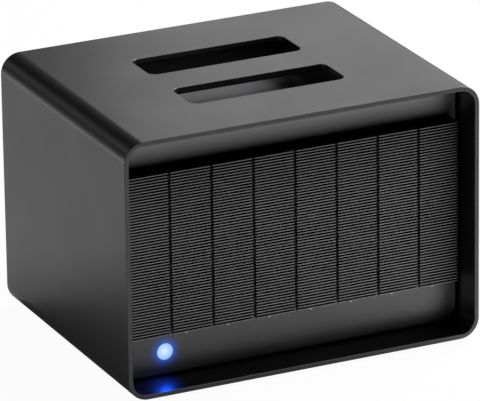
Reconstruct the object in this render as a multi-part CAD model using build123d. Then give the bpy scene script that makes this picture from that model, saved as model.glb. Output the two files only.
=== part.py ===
from build123d import *
import math
import os

# Desktop enclosure for drives that stand on their long edge in a row of sliding trays.
# Millimetres. X runs to the right seen from the front, the front faces -Y, and Z is up.
# The origin lies under the middle of the enclosure, on the surface that it stands on.

# Drives
drive_count = 8
drive_thickness = 26.1
drive_width = 101.6
drive_length = 147.0
drive_hole_radius = 1.6
drive_hole_depth = 3.5
drive_hole_height = 6.35
drive_hole_places = (28.5, 130.1)
drive_cover_step = 1.2
drive_cover_rim = 3.0
drive_cover_rear = 12.0
drive_board_side = 9.0
drive_corner = 3.0
plug_notch_width = 7.0
plug_notch_length = 45.0
plug_notch_depth = 7.0
plug_level = 45.0

# Trays
tray_side = 0.95
rail_height = 5.0
rail_tail = 3.0
rail_pocket_length = 18.0
rail_pocket_depth = 3.2
rail_pocket_wall = 3.0
rail_pocket_gap = 9.0
tray_front_wall = 1.6
tray_window_wall = 3.5
tray_window_count = 4
tray_bar = 4.0
drive_end_gap = 0.2
tray_pin_fit = 0.1
tray_pin_end_gap = 0.5

# Doors
fin_count = 57
fin_share = 0.5
fin_depth = 3.0
door_overlap = 0.4
door_gap = 1.7
door_depth = 10.0
door_wall = 1.2
door_edge_strip = 0.7
door_bar = 1.2
door_bar_depth = 1.6
door_bar_count = 2
hinge_rise = 4.0
hinge_inset = 4.0
hinge_pin_radius = 1.2
hinge_pin_fit = 0.05
hinge_ear = 1.5
hinge_ear_radius = 1.9
hinge_ear_gap = 0.3
hinge_pin_end_gap = 0.3
hinge_round_gap = 0.01

# Drive cage
guide_rib = 1.2
guide_rib_height = 3.0
tray_gap = 0.4
tray_lift = 0.3
cage_sheet = 1.2
backplane_gap = 3.0
cage_slot_width = 3.0
cage_slot_pitch = 12.0

# Shell
shell_wall = 3.2
shell_corner = 13.7
side_space = 4.4
lower_space = 32.4
upper_space = 26.15
door_recess = 13.95
rear_recess = 4.8
shell_edge = 0.5

# Hand slots and the trough under them
slot_length = 111.5
slot_width = 34.0
slot_bridge = 30.8
slot_corner = 6.0
slot_edge = 0.4
tub_margin = 2.0
tub_wall = 2.0
tub_gap = 2.55
tub_round = 9.0
bridge_liner = 1.8
bridge_liner_round = 1.0
bridge_liner_gap = 0.2

# Front bezel
door_clearance = 0.25
bezel_thickness = 2.5
bezel_gap = 2.1
lamp_radius = 0.6
lamp_fit = 0.05
lamp_drop = 4.2
lamp_proud = 0.15
board_boss_radius = 2.5
board_boss_level = 14.0
board_boss_offset = 55.0

# Power button
button_radius = 5.6
button_inset = 29.15
button_level = 17.5
button_proud = 0.5
button_edge_round = 0.35
button_fit = 0.1
button_stem_radius = 2.0
button_stem_length = 1.3
button_flange = 1.0
button_flange_thickness = 0.8
button_flange_gap = 0.3
button_travel = 1.0
switch_size = 6.0
switch_height = 3.5
ring_width = 0.9
ring_fit = 0.05
ring_proud = 0.3
ring_flange = 1.2
ring_flange_thickness = 0.8

# Boards
board_thickness = 1.6
board_edge = 4.4
front_board_top_gap = 1.1
front_board_inset = 12.0
main_board_rise = 4.6
main_board_front = 13.3
main_board_rear = 1.6
standoff_radius = 2.5
standoff_rear_gap = 17.6
backplane_air_width = 9.0
backplane_air_margin = 14.0
socket_side_gap = 1.0
socket_end_gap = 1.5
socket_depth_gap = 2.0
socket_wall = 1.0
socket_mouth_share = 0.5
chip_size = 20.0
chip_height = 2.0
heatsink_size = 40.0
heatsink_base = 3.0
heatsink_height = 14.0
heatsink_fins = 9
heatsink_fin = 1.2
small_chip_size = 8.0
small_chip_height = 1.2
small_chip_count = 6
small_chip_pitch = 22.0
capacitor_radius = 4.0
capacitor_round = 0.6
capacitor_height = 10.0
capacitor_count = 5
capacitor_pitch = 12.0

# Chassis sheet
base_sheet = 1.5
base_margin = 1.9
base_tab_width = 12.0
base_tab_height = 20.0

# Fans and rear panel
fan_size = 80.0
fan_depth = 15.0
fan_wall = 2.0
fan_corner = 4.0
fan_hole_inset = 4.25
fan_hole_radius = 2.15
fan_gap = 1.0
hub_plate_radius = 17.0
hub_plate = 2.5
strut_width = 3.0
strut_count = 4
rotor_hub_radius = 16.0
rotor_end_gap = 0.5
rotor_tip_gap = 1.2
rotor_cap_round = 1.5
blade_count = 7
blade_thickness = 1.4
blade_chord = 15.0
blade_pitch_angle = 40.0
blade_root = 1.0
axle_radius = 1.5
axle_fit = 0.05
axle_reach = 2.0
rear_sheet = 1.6
rear_gap = 0.3
guard_wire = 1.6
guard_rings = 4
guard_inner_radius = 8.0
guard_eye_radius = 4.0
guard_spokes = 4
root_overlap = 0.5
bracket_size = 9.0
bracket_level = 35.0
vent_width = 2.5
vent_length = 14.0
vent_pitch = 6.0
vent_count = 9
vent_drop = 12.0

# Rear connections and controls
port_spacing = 26.0
port_offset = -7.0
port_width = 8.94
port_height = 3.26
port_length = 7.35
port_wall = 0.3
port_end = 1.0
port_tongue_width = 6.69
port_tongue = 0.7
port_tongue_inset = 1.0
port_corner = 1.4
port_proud = 0.4
cut_clearance = 0.3
jack_offset = -62.0
jack_width = 11.0
jack_height = 11.0
jack_length = 14.0
jack_hole_radius = 3.2
jack_hole_depth = 9.5
jack_pin_radius = 1.25
jack_pin_inset = 1.0
jack_proud = 0.3
control_level = 5.5
dial_offset = 45.0
dial_radius = 3.8
dial_fit = 0.05
dial_housing = 10.0
dial_housing_length = 8.0
dial_seat_depth = 4.0
dial_slot = 1.0
dial_slot_depth = 1.2
dial_slot_length = 6.0
dial_edge = 0.4
dial_proud = 0.8
set_spacing = 21.0
set_radius = 1.8
set_fit = 0.1
set_flange = 0.7
set_flange_thickness = 0.9
set_edge_round = 0.35
set_proud = 0.8
set_travel = 0.5
set_end_gap = 0.3
set_housing = 6.0
set_housing_length = 4.0

# Feet and screws
foot_radius = 8.0
foot_height = 3.0
foot_edge = 0.6
foot_margin = 1.5
foot_end_inset = 34.0
foot_screw_seat = 2.2
screw_radius = 1.5
screw_fit = 0.15
screw_head_radius = 2.8
screw_head = 1.8
screw_length = 6.0
screw_cross = 0.7
screw_cross_depth = 1.0
screw_cross_share = 0.6
screw_end_gap = 0.3
fan_screw_radius = 2.0
fan_screw_head_radius = 3.4
fan_screw_length = 9.0

# How far a cut runs past the faces that it goes through
past = 1.0

# Places across the width
tray_width = drive_thickness + 2 * tray_side
bay_pitch = tray_width + guide_rib + 2 * tray_gap
bay_span = drive_count * bay_pitch
bay_places = [(bay - (drive_count - 1) / 2) * bay_pitch for bay in range(drive_count)]
divider_places = [x + bay_pitch / 2 for x in bay_places[:-1]]
door_width = bay_pitch - door_gap
cage_inner_half = bay_span / 2 - guide_rib / 2
cage_outer_half = cage_inner_half + cage_sheet
inner_half = bay_span / 2 + side_space
shell_width = 2 * (inner_half + shell_wall)
inner_corner = shell_corner - shell_wall
bezel_corner = inner_corner - bezel_gap
fan_offset = bay_span / 4
fan_bore_radius = fan_size / 2 - fan_wall
fan_hole_offset = fan_size / 2 - fan_hole_inset
set_x = dial_offset + set_spacing

# Heights
floor_top = foot_height + shell_wall
door_bottom = floor_top + lower_space
door_height = drive_width + 2 * rail_height + 2 * door_overlap
door_top = door_bottom + door_height
inner_top = door_top + upper_space
shell_height = 2 * shell_wall + lower_space + door_height + upper_space
tray_bottom = door_bottom + door_overlap
tray_top = door_top - door_overlap
drive_bottom = tray_bottom + rail_height
drive_top = drive_bottom + drive_width
drive_middle = (drive_bottom + drive_top) / 2
cage_floor_top = tray_bottom - tray_lift
cage_roof_bottom = tray_top + tray_lift
tub_floor = cage_roof_bottom + cage_sheet + tub_gap + tub_wall
base_top = floor_top + base_sheet
main_board_bottom = base_top + main_board_rise
main_board_top = main_board_bottom + board_thickness
control_axis = main_board_top + control_level
button_axis = floor_top + button_level
lamp_axis = door_bottom - lamp_drop

# Places from front to rear
stack_depth = (
    door_recess + door_depth + door_clearance + tray_front_wall + drive_end_gap + drive_length
    + backplane_gap + board_thickness + fan_gap + fan_depth + rear_sheet + rear_recess
)
shell_front = -stack_depth / 2
shell_rear = stack_depth / 2
door_front = shell_front + door_recess
door_back = door_front + door_depth
bezel_front = door_back + door_clearance
bezel_back = bezel_front + bezel_thickness
tray_front = bezel_front
tray_face_back = tray_front + tray_front_wall
drive_front = tray_face_back + drive_end_gap
drive_rear = drive_front + drive_length
rail_end = drive_rear - rail_tail
backplane_front = drive_rear + backplane_gap
backplane_rear = backplane_front + board_thickness
fan_front = backplane_rear + fan_gap
fan_rear = fan_front + fan_depth
panel_rear = fan_rear + rear_sheet
ring_back = bezel_back + ring_flange_thickness
button_cap_back = ring_back + button_flange_gap
button_stem_end = button_cap_back + button_flange_thickness + button_stem_length
front_board_front = button_stem_end + button_flange_gap + button_travel + switch_height
front_board_back = front_board_front + board_thickness
hinge_y = door_back - hinge_inset
hinge_z = door_bottom + hinge_rise
button_x = -bay_span / 2 + button_inset
base_half = inner_half - inner_corner - base_margin
fan_places = (-fan_offset, fan_offset)
fan_holes = [
    (across, up)
    for across in (-fan_hole_offset, fan_hole_offset)
    for up in (-fan_hole_offset, fan_hole_offset)
]

# Places that several pieces share
foot_x = shell_width / 2 - shell_corner - foot_radius - foot_margin
foot_y = stack_depth / 2 - foot_end_inset
base_tab_x = base_half - base_tab_width / 2
base_tab_z = base_top + base_tab_height / 2
bracket_x = inner_half - bracket_size / 2
bracket_places = [
    (side * bracket_x, drive_middle + up)
    for side in (-1, 1)
    for up in (-bracket_level, bracket_level)
]
panel_screw_places = bracket_places + [(-base_tab_x, base_tab_z), (base_tab_x, base_tab_z)]
board_boss_z = base_top + board_boss_level
port_places = (port_offset - port_spacing / 2, port_offset + port_spacing / 2)
main_board_edge = base_tab_width
dial_housing_back = fan_rear - cut_clearance
set_housing_back = fan_rear - set_end_gap - set_flange_thickness - set_travel - set_end_gap
standoff_half = base_half - base_sheet - main_board_edge - board_edge
standoff_front = bezel_back + main_board_front + board_edge
standoff_rear = fan_rear - main_board_rear - port_length - standoff_rear_gap
standoff_places = [
    (x, y)
    for x in (-standoff_half, 0, standoff_half)
    for y in (standoff_front, standoff_rear)
]


def block(x0, x1, y0, y1, z0, z1):
    """A box between two opposite corners."""
    middle = Pos((x0 + x1) / 2, (y0 + y1) / 2, (z0 + z1) / 2)
    return middle * Box(x1 - x0, y1 - y0, z1 - z0)


def rod_x(y, z, radius, x0, x1):
    """A cylinder along X between two ends."""
    return Pos((x0 + x1) / 2, y, z) * Rot(0, 90, 0) * Cylinder(radius, x1 - x0)


def rod_y(x, z, radius, y0, y1):
    """A cylinder along Y between two ends."""
    return Pos(x, (y0 + y1) / 2, z) * Rot(90, 0, 0) * Cylinder(radius, y1 - y0)


def rod_z(x, y, radius, z0, z1):
    """A cylinder along Z between two ends."""
    return Pos(x, y, (z0 + z1) / 2) * Cylinder(radius, z1 - z0)


def slab_y(outline, y0, y1):
    """An outline drawn in X and Z, made into a slab from y0 back to y1."""
    face_plane = Plane(origin=(0, y0, 0), x_dir=(1, 0, 0), z_dir=(0, -1, 0))
    return extrude(face_plane * outline, amount=y0 - y1)


def slab_z(outline, z0, z1):
    """An outline drawn in X and Y, made into a slab from z0 up to z1."""
    return extrude(Plane.XY.offset(z0) * outline, amount=z1 - z0)


def save(name, shape):
    """Write one piece, or one group of like pieces, to its own file."""
    export_step(shape, f"parts/{name}.step")


def together(pieces):
    """Several loose pieces as one group."""
    group = pieces[0]
    for piece in pieces[1:]:
        group = group + piece
    return group


def screw(x, y, z, turn, radius, head_radius, length):
    """A pan-head screw whose head rests at the given place, shank along the turned -Z."""
    head = Pos(0, 0, screw_head / 2) * Cylinder(head_radius, screw_head)
    top_edges = head.edges().filter_by(GeomType.CIRCLE).sort_by(Axis.Z)[-1:]
    head = fillet(top_edges, screw_head / 2)
    shank = Pos(0, 0, -length / 2) * Cylinder(radius, length)
    cross_level = screw_head - screw_cross_depth / 2
    arm = 2 * head_radius * screw_cross_share
    cross = Pos(0, 0, cross_level) * Box(arm, screw_cross, screw_cross_depth)
    cross += Pos(0, 0, cross_level) * Box(screw_cross, arm, screw_cross_depth)
    return Pos(x, y, z) * turn * (head + shank - cross)


def make_shell():
    """The rounded sleeve, open at the front and rear, with two hand slots in its top."""
    middle_z = foot_height + shell_height / 2
    outer = Pos(0, middle_z) * RectangleRounded(shell_width, shell_height, shell_corner)
    inner_height = shell_height - 2 * shell_wall
    inner = Pos(0, middle_z) * RectangleRounded(2 * inner_half, inner_height, inner_corner)
    sleeve = slab_y(outer - inner, shell_front, shell_rear)
    rims = sleeve.edges().filter_by_position(Axis.Y, shell_front, shell_front)
    rims += sleeve.edges().filter_by_position(Axis.Y, shell_rear, shell_rear)
    sleeve = chamfer(rims, shell_edge)
    slot = RectangleRounded(slot_length, slot_width, slot_corner)
    for side in (-1, 1):
        place = Pos(0, side * (slot_bridge + slot_width) / 2)
        sleeve -= slab_z(place * slot, inner_top - past, inner_top + shell_wall + past)
    half_length = slot_length / 2 + past
    half_width = slot_bridge / 2 + slot_width + past
    slot_rims = sleeve.edges().group_by(Axis.Z)[-1]
    slot_rims = slot_rims.filter_by_position(Axis.X, -half_length, half_length)
    slot_rims = slot_rims.filter_by_position(Axis.Y, -half_width, half_width)
    sleeve = chamfer(slot_rims, slot_edge)
    screw_hole = screw_radius + screw_fit
    for x in (-foot_x, foot_x):
        for y in (-foot_y, foot_y):
            sleeve -= rod_z(x, y, screw_hole, foot_height - past, floor_top + past)
    return sleeve


def make_handle_tub():
    """The closed trough under both hand slots, hung from the shell's top."""
    half_length = slot_length / 2 + tub_margin
    half_width = slot_bridge / 2 + slot_width + tub_margin
    outer = block(
        -half_length - tub_wall, half_length + tub_wall,
        -half_width - tub_wall, half_width + tub_wall,
        tub_floor - tub_wall, inner_top,
    )
    outer = fillet(outer.faces().sort_by(Axis.Z)[0].edges(), tub_round)
    hollow = block(
        -half_length, half_length, -half_width, half_width, tub_floor, inner_top + tub_round,
    )
    hollow = fillet(hollow.faces().sort_by(Axis.Z)[0].edges(), tub_round - tub_wall)
    return outer - hollow


def make_hand_bridge():
    """The liner strip under the bar between the two hand slots."""
    half_length = slot_length / 2 + tub_margin - bridge_liner_gap
    half_width = slot_bridge / 2
    strip = block(
        -half_length, half_length, -half_width, half_width, inner_top - bridge_liner, inner_top,
    )
    lower_long = strip.edges().filter_by(Axis.X).sort_by(Axis.Z)[:2]
    return fillet(lower_long, bridge_liner_round)


def make_front_bezel():
    """The recessed front panel with the bay window, the light holes and the button hole."""
    width = 2 * (inner_half - bezel_gap)
    height = shell_height - 2 * (shell_wall + bezel_gap)
    middle_z = foot_height + shell_height / 2
    outline = Pos(0, middle_z) * RectangleRounded(width, height, bezel_corner)
    panel = slab_y(outline, bezel_front, bezel_back)
    panel -= block(
        -cage_inner_half, cage_inner_half, bezel_front - past, bezel_back + past, door_bottom, door_top,
    )
    lamp_hole = lamp_radius + lamp_fit
    panel -= [rod_y(x, lamp_axis, lamp_hole, bezel_front - past, bezel_back + past) for x in bay_places]
    ring_hole = button_radius + button_fit + ring_width + ring_fit
    panel -= rod_y(button_x, button_axis, ring_hole, bezel_front - past, bezel_back + past)
    for x in (-board_boss_offset, board_boss_offset):
        panel += rod_y(x, board_boss_z, board_boss_radius, bezel_back, front_board_front)
    return panel


def make_door():
    """One finned door, drawn for a bay in the middle; it hangs on two pins of its tray."""
    half = door_width / 2
    pitch = door_height / (fin_count - 1 + fin_share)
    fin_height = pitch * fin_share
    fin_back = door_front + fin_depth
    fins = [
        block(-half, half, door_front, fin_back,
              door_bottom + step * pitch, door_bottom + step * pitch + fin_height)
        for step in range(fin_count)
    ]
    round_radius = min(hinge_inset, hinge_rise)
    left_wall = side_wall(-half, -half + door_wall, fin_back, round_radius)
    right_wall = side_wall(half - door_wall, half, fin_back, round_radius)
    strip = block(half - door_edge_strip, half, door_front, fin_back, door_bottom, door_top)
    top = block(-half, half, fin_back, door_back, door_top - door_wall, door_top)
    bar_step = door_width / (door_bar_count + 1)
    bar_places = [-half + bar_step * (number + 1) for number in range(door_bar_count)]
    bars = [
        block(x - door_bar / 2, x + door_bar / 2, fin_back, fin_back + door_bar_depth,
              door_bottom, door_top)
        for x in bar_places
    ]
    return left_wall + fins + right_wall + strip + top + bars


def side_wall(x0, x1, fin_back, round_radius):
    """A door's side wall, with the pin hole and a lower rear corner round the pin."""
    wall = block(x0, x1, fin_back, door_back, door_bottom, door_top)
    corner = wall.edges().filter_by(Axis.X).sort_by(Axis.Z)[:2].sort_by(Axis.Y)[-1:]
    wall = fillet(corner, round_radius - hinge_round_gap)
    hole = hinge_pin_radius + hinge_pin_fit
    return wall - rod_x(hinge_y, hinge_z, hole, x0 - past, x1 + past)


def make_tray():
    """One sliding tray: front wall, two rails, pins for the drive and ears for the door."""
    half = tray_width / 2
    tray = block(-half, half, tray_front, tray_face_back, tray_bottom, tray_top)
    window_half = half - tray_window_wall
    windows_bottom = drive_bottom + tray_window_wall
    windows_height = drive_width - 2 * tray_window_wall
    window_height = (windows_height - (tray_window_count - 1) * tray_bar) / tray_window_count
    for row in range(tray_window_count):
        low = windows_bottom + row * (window_height + tray_bar)
        tray -= block(
            -window_half, window_half, tray_front - past, tray_face_back + past, low, low + window_height,
        )
    pocket_count = int((rail_end - tray_face_back) // (rail_pocket_length + rail_pocket_gap))
    pocket_half = half - rail_pocket_wall
    pin_x = drive_hole_height - drive_thickness / 2
    pin_radius = drive_hole_radius - tray_pin_fit
    pin_length = drive_hole_depth - tray_pin_end_gap
    for inward, outside, inside in ((1, tray_bottom, drive_bottom), (-1, tray_top, drive_top)):
        rail = block(-half, half, tray_front, rail_end, *sorted((outside, inside)))
        pocket_z = sorted((outside, outside + inward * rail_pocket_depth))
        for place in range(pocket_count):
            start = tray_face_back + rail_pocket_gap + place * (rail_pocket_length + rail_pocket_gap)
            rail -= block(
                -pocket_half, pocket_half, start, start + rail_pocket_length, *pocket_z,
            )
        tray += rail
        pin_ends = sorted((inside, inside + inward * pin_length))
        for from_rear in drive_hole_places:
            tray += rod_z(pin_x, drive_rear - from_rear, pin_radius, *pin_ends)
    ear_outer = door_width / 2 - door_wall - hinge_ear_gap
    pin_end = door_width / 2 - hinge_pin_end_gap
    for side in (-1, 1):
        ear_x = sorted((side * (ear_outer - hinge_ear), side * ear_outer))
        ear = block(
            *ear_x, hinge_y, tray_front, hinge_z - hinge_ear_radius, hinge_z + hinge_ear_radius,
        )
        ear += rod_x(hinge_y, hinge_z, hinge_ear_radius, *ear_x)
        tray += ear
        tray += rod_x(hinge_y, hinge_z, hinge_pin_radius, *sorted((side * ear_outer, side * pin_end)))
    return tray


def make_drive():
    """One 3.5-inch drive on its long edge: casting, stepped cover, screw holes, plug notch."""
    half = drive_thickness / 2
    drive = block(-half, half, drive_front, drive_rear, drive_bottom, drive_top)
    drive = fillet(drive.edges().filter_by(Axis.X), drive_corner)
    cover_zone = block(
        half - drive_cover_step, half + past, drive_front - past, drive_rear + past,
        drive_bottom - past, drive_top + past,
    )
    cover_keep = block(
        half - drive_cover_step - past, half,
        drive_front + drive_cover_rim, drive_rear - drive_cover_rear,
        drive_bottom + drive_cover_rim, drive_top - drive_cover_rim,
    )
    cover_keep = fillet(cover_keep.edges().filter_by(Axis.X), drive_corner)
    drive -= cover_zone - cover_keep
    drive -= block(
        -half - past, -half + drive_cover_step,
        drive_front + drive_cover_rear, drive_rear - drive_cover_rim,
        drive_bottom + drive_board_side, drive_top - drive_board_side,
    )
    hole_x = drive_hole_height - half
    for from_rear in drive_hole_places:
        y = drive_rear - from_rear
        drive -= rod_z(hole_x, y, drive_hole_radius, drive_bottom - past, drive_bottom + drive_hole_depth)
        drive -= rod_z(hole_x, y, drive_hole_radius, drive_top - drive_hole_depth, drive_top + past)
    plug_z = drive_bottom + plug_level
    drive -= block(
        -half - past, -half + plug_notch_width, drive_rear - plug_notch_depth, drive_rear + past,
        plug_z - plug_notch_length / 2, plug_z + plug_notch_length / 2,
    )
    return drive


def make_cage_floor():
    """The sheet under the trays, with guide ribs between them."""
    sheet = block(
        -cage_outer_half, cage_outer_half, bezel_back, backplane_front,
        cage_floor_top - cage_sheet, cage_floor_top,
    )
    for x in divider_places:
        sheet += block(
            x - guide_rib / 2, x + guide_rib / 2, bezel_back, rail_end,
            cage_floor_top, cage_floor_top + guide_rib_height,
        )
    return sheet


def make_cage_roof():
    """The sheet over the trays, with the upper guide ribs."""
    sheet = block(
        -cage_outer_half, cage_outer_half, bezel_back, backplane_front,
        cage_roof_bottom, cage_roof_bottom + cage_sheet,
    )
    for x in divider_places:
        sheet += block(
            x - guide_rib / 2, x + guide_rib / 2, bezel_back, rail_end,
            cage_roof_bottom - guide_rib_height, cage_roof_bottom,
        )
    return sheet


def make_cage_side(side):
    """One side sheet of the cage, between its floor and roof, with a row of air slots."""
    x0, x1 = sorted((side * cage_inner_half, side * cage_outer_half))
    sheet = block(x0, x1, bezel_back, backplane_front, cage_floor_top, cage_roof_bottom)
    slot_low = cage_floor_top + backplane_air_margin
    slot_high = cage_roof_bottom - backplane_air_margin
    slot_total = int(drive_length // cage_slot_pitch) - 2
    for number in range(slot_total):
        start = drive_front + (number + 1) * cage_slot_pitch
        sheet -= block(x0 - past, x1 + past, start, start + cage_slot_width, slot_low, slot_high)
    return sheet


def make_chassis_base():
    """The folded sheet on the shell's floor that carries the cage, the boards and the panels."""
    base = block(-base_half, base_half, bezel_back, fan_rear, floor_top, base_top)
    cage_floor_bottom = cage_floor_top - cage_sheet
    for side in (-1, 1):
        outer = side * base_half
        inner = side * (base_half - base_sheet)
        tab_end = side * (base_half - base_tab_width)
        base += block(*sorted((inner, outer)), bezel_back, fan_rear, base_top, cage_floor_bottom)
        tab_x = sorted((tab_end, outer))
        tab_top = base_top + base_tab_height
        for tab_front in (bezel_back, fan_rear - base_sheet):
            base += block(*tab_x, tab_front, tab_front + base_sheet, base_top, tab_top)
    screw_hole = screw_radius + screw_fit
    for x in (-foot_x, foot_x):
        for y in (-foot_y, foot_y):
            base -= rod_z(x, y, screw_hole, floor_top - past, base_top + past)
    for x in (-base_tab_x, base_tab_x):
        base -= rod_y(x, base_tab_z, screw_hole, fan_rear - base_sheet - past, fan_rear + past)
    return base


def make_front_board():
    """The board behind the bezel that carries the lights and the power switch."""
    half = base_half - base_sheet - front_board_inset
    low = base_top + board_edge
    high = cage_floor_top - cage_sheet - front_board_top_gap
    board = block(-half, half, front_board_front, front_board_back, low, high)
    switch = switch_size / 2
    board += block(
        button_x - switch, button_x + switch, front_board_front - switch_height, front_board_front,
        button_axis - switch, button_axis + switch,
    )
    return board


def make_lamp(x):
    """One light pipe, from the bezel's face back to the front board."""
    return rod_y(x, lamp_axis, lamp_radius, bezel_front - lamp_proud, front_board_front)


def make_power_button():
    """The lit round button, with its stem and the flange that holds it in the ring."""
    front = bezel_front - button_proud
    button = rod_y(button_x, button_axis, button_radius, front, button_cap_back)
    face_edge = button.edges().filter_by(GeomType.CIRCLE).sort_by(Axis.Y)[:1]
    button = fillet(face_edge, button_edge_round)
    flange_radius = button_radius + button_flange
    flange_end = button_cap_back + button_flange_thickness
    button += rod_y(button_x, button_axis, flange_radius, button_cap_back, flange_end)
    return button + rod_y(
        button_x, button_axis, button_stem_radius, button_cap_back, button_stem_end,
    )


def make_power_button_ring():
    """The clear ring round the power button, seated from behind the bezel."""
    inner = button_radius + button_fit
    outer = inner + ring_width
    ring = rod_y(button_x, button_axis, outer, bezel_front - ring_proud, ring_back)
    ring += rod_y(button_x, button_axis, outer + ring_flange, bezel_back, ring_back)
    return ring - rod_y(button_x, button_axis, inner, bezel_front - past, ring_back + past)


def make_main_board():
    """The board under the cage, with holes for its screws."""
    front = bezel_back + main_board_front
    rear = fan_rear - main_board_rear
    half = base_half - base_sheet - main_board_edge
    board = block(-half, half, front, rear, main_board_bottom, main_board_top)
    screw_hole = screw_radius + screw_fit
    return board - [
        rod_z(x, y, screw_hole, main_board_bottom - past, main_board_top + past)
        for x, y in standoff_places
    ]


def make_standoffs():
    """The posts between the chassis sheet and the main board."""
    posts = [
        rod_z(x, y, standoff_radius, base_top, main_board_bottom)
        - rod_z(x, y, screw_radius + screw_fit, base_top - past, main_board_bottom + past)
        for x, y in standoff_places
    ]
    return together(posts)


def make_main_chips():
    """The large controller chip and the row of small chips on the main board."""
    half = chip_size / 2
    chips = [block(-half, half, -half, half, main_board_top, main_board_top + chip_height)]
    small = small_chip_size / 2
    row_y = bezel_back + main_board_front + small_chip_pitch
    for number in range(small_chip_count):
        x = (number - (small_chip_count - 1) / 2) * small_chip_pitch
        chips.append(block(
            x - small, x + small, row_y - small, row_y + small,
            main_board_top, main_board_top + small_chip_height,
        ))
    return together(chips)


def make_capacitors():
    """The row of round capacitors behind the power inlet."""
    row_y = fan_rear - main_board_rear - jack_length - 2 * capacitor_radius
    cans = []
    for number in range(capacitor_count):
        x = jack_offset - capacitor_pitch + number * capacitor_pitch
        can = rod_z(x, row_y, capacitor_radius, main_board_top, main_board_top + capacitor_height)
        top_edge = can.edges().filter_by(GeomType.CIRCLE).sort_by(Axis.Z)[-1:]
        cans.append(fillet(top_edge, capacitor_round))
    return together(cans)


def make_heatsink():
    """The finned block on the controller chip."""
    half = heatsink_size / 2
    low = main_board_top + chip_height
    sink = block(-half, half, -half, half, low, low + heatsink_base)
    step = (heatsink_size - heatsink_fin) / (heatsink_fins - 1)
    for number in range(heatsink_fins):
        x = -half + number * step
        sink += block(x, x + heatsink_fin, -half, half, low, low + heatsink_height)
    return sink


def make_backplane():
    """The board across the rear of the cage, with tall air slots between the sockets."""
    board = block(
        -cage_outer_half, cage_outer_half, backplane_front, backplane_rear,
        cage_floor_top - cage_sheet, cage_roof_bottom + cage_sheet,
    )
    air_half = backplane_air_width / 2
    return board - [
        block(x - air_half, x + air_half, backplane_front - past, backplane_rear + past,
              drive_bottom + backplane_air_margin, drive_top - backplane_air_margin)
        for x in divider_places
    ]


def make_sata_sockets():
    """The sockets on the backplane, one for each drive."""
    sockets = []
    plug_z = drive_bottom + plug_level
    notch_middle = (plug_notch_width - drive_thickness) / 2
    half_width = plug_notch_width / 2 - socket_side_gap
    half_length = plug_notch_length / 2 - socket_end_gap
    mouth_half = half_width * socket_mouth_share
    mouth_reach = half_length - socket_wall
    front = drive_rear - plug_notch_depth + socket_depth_gap
    for bay_x in bay_places:
        x = bay_x + notch_middle
        body = block(
            x - half_width, x + half_width, front, backplane_front,
            plug_z - half_length, plug_z + half_length,
        )
        mouth = block(
            x - mouth_half, x + mouth_half, front - past, drive_rear,
            plug_z - mouth_reach, plug_z + mouth_reach,
        )
        sockets.append(body - mouth)
    return together(sockets)


def make_fan_frame(fan_x):
    """One square fan frame with its bore, its four struts and the bearing in the middle."""
    centre = Pos(fan_x, drive_middle)
    outline = RectangleRounded(fan_size, fan_size, fan_corner) - Circle(fan_bore_radius)
    frame = slab_y(centre * outline, fan_front, fan_rear)
    frame -= [
        rod_y(fan_x + across, drive_middle + up, fan_hole_radius, fan_front - past, fan_rear + past)
        for across, up in fan_holes
    ]
    plate_front = fan_rear - hub_plate
    frame += rod_y(fan_x, drive_middle, hub_plate_radius, plate_front, fan_rear)
    strut_length = fan_bore_radius + root_overlap - hub_plate_radius / 2
    strut_middle = hub_plate_radius / 2 + strut_length / 2
    for number in range(strut_count):
        turn = Rot(0, 360 / strut_count * number, 0)
        strut = Pos(0, 0, strut_middle) * Box(strut_width, hub_plate, strut_length)
        frame += Pos(fan_x, plate_front + hub_plate / 2, drive_middle) * turn * strut
    return frame - rod_y(
        fan_x, drive_middle, axle_radius + axle_fit, plate_front - past, plate_front + axle_reach,
    )


def make_fan_rotor(fan_x):
    """One fan rotor: a hub with blades set at an angle, and the axle into the bearing."""
    front = fan_front + rotor_end_gap
    back = fan_rear - hub_plate - rotor_end_gap
    hub = rod_y(fan_x, drive_middle, rotor_hub_radius, front, back)
    hub = fillet(hub.edges().filter_by(GeomType.CIRCLE).sort_by(Axis.Y)[:1], rotor_cap_round)
    tip = fan_bore_radius - rotor_tip_gap
    blade_inner = rotor_hub_radius - blade_root
    blade_length = tip + past - blade_inner
    blade_ring = rod_y(fan_x, drive_middle, tip, front, back)
    centre = Pos(fan_x, (front + back) / 2, drive_middle)
    blades = []
    for number in range(blade_count):
        turn = Rot(0, 360 / blade_count * number, 0)
        blade = Box(blade_thickness, blade_chord, blade_length)
        leaned = Pos(0, 0, blade_inner + blade_length / 2) * Rot(0, 0, blade_pitch_angle) * blade
        blades.append(centre * turn * leaned & blade_ring)
    axle_end = fan_rear - hub_plate + axle_reach - rotor_end_gap
    axle = rod_y(fan_x, drive_middle, axle_radius, back - root_overlap, axle_end)
    return hub + blades + axle


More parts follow.
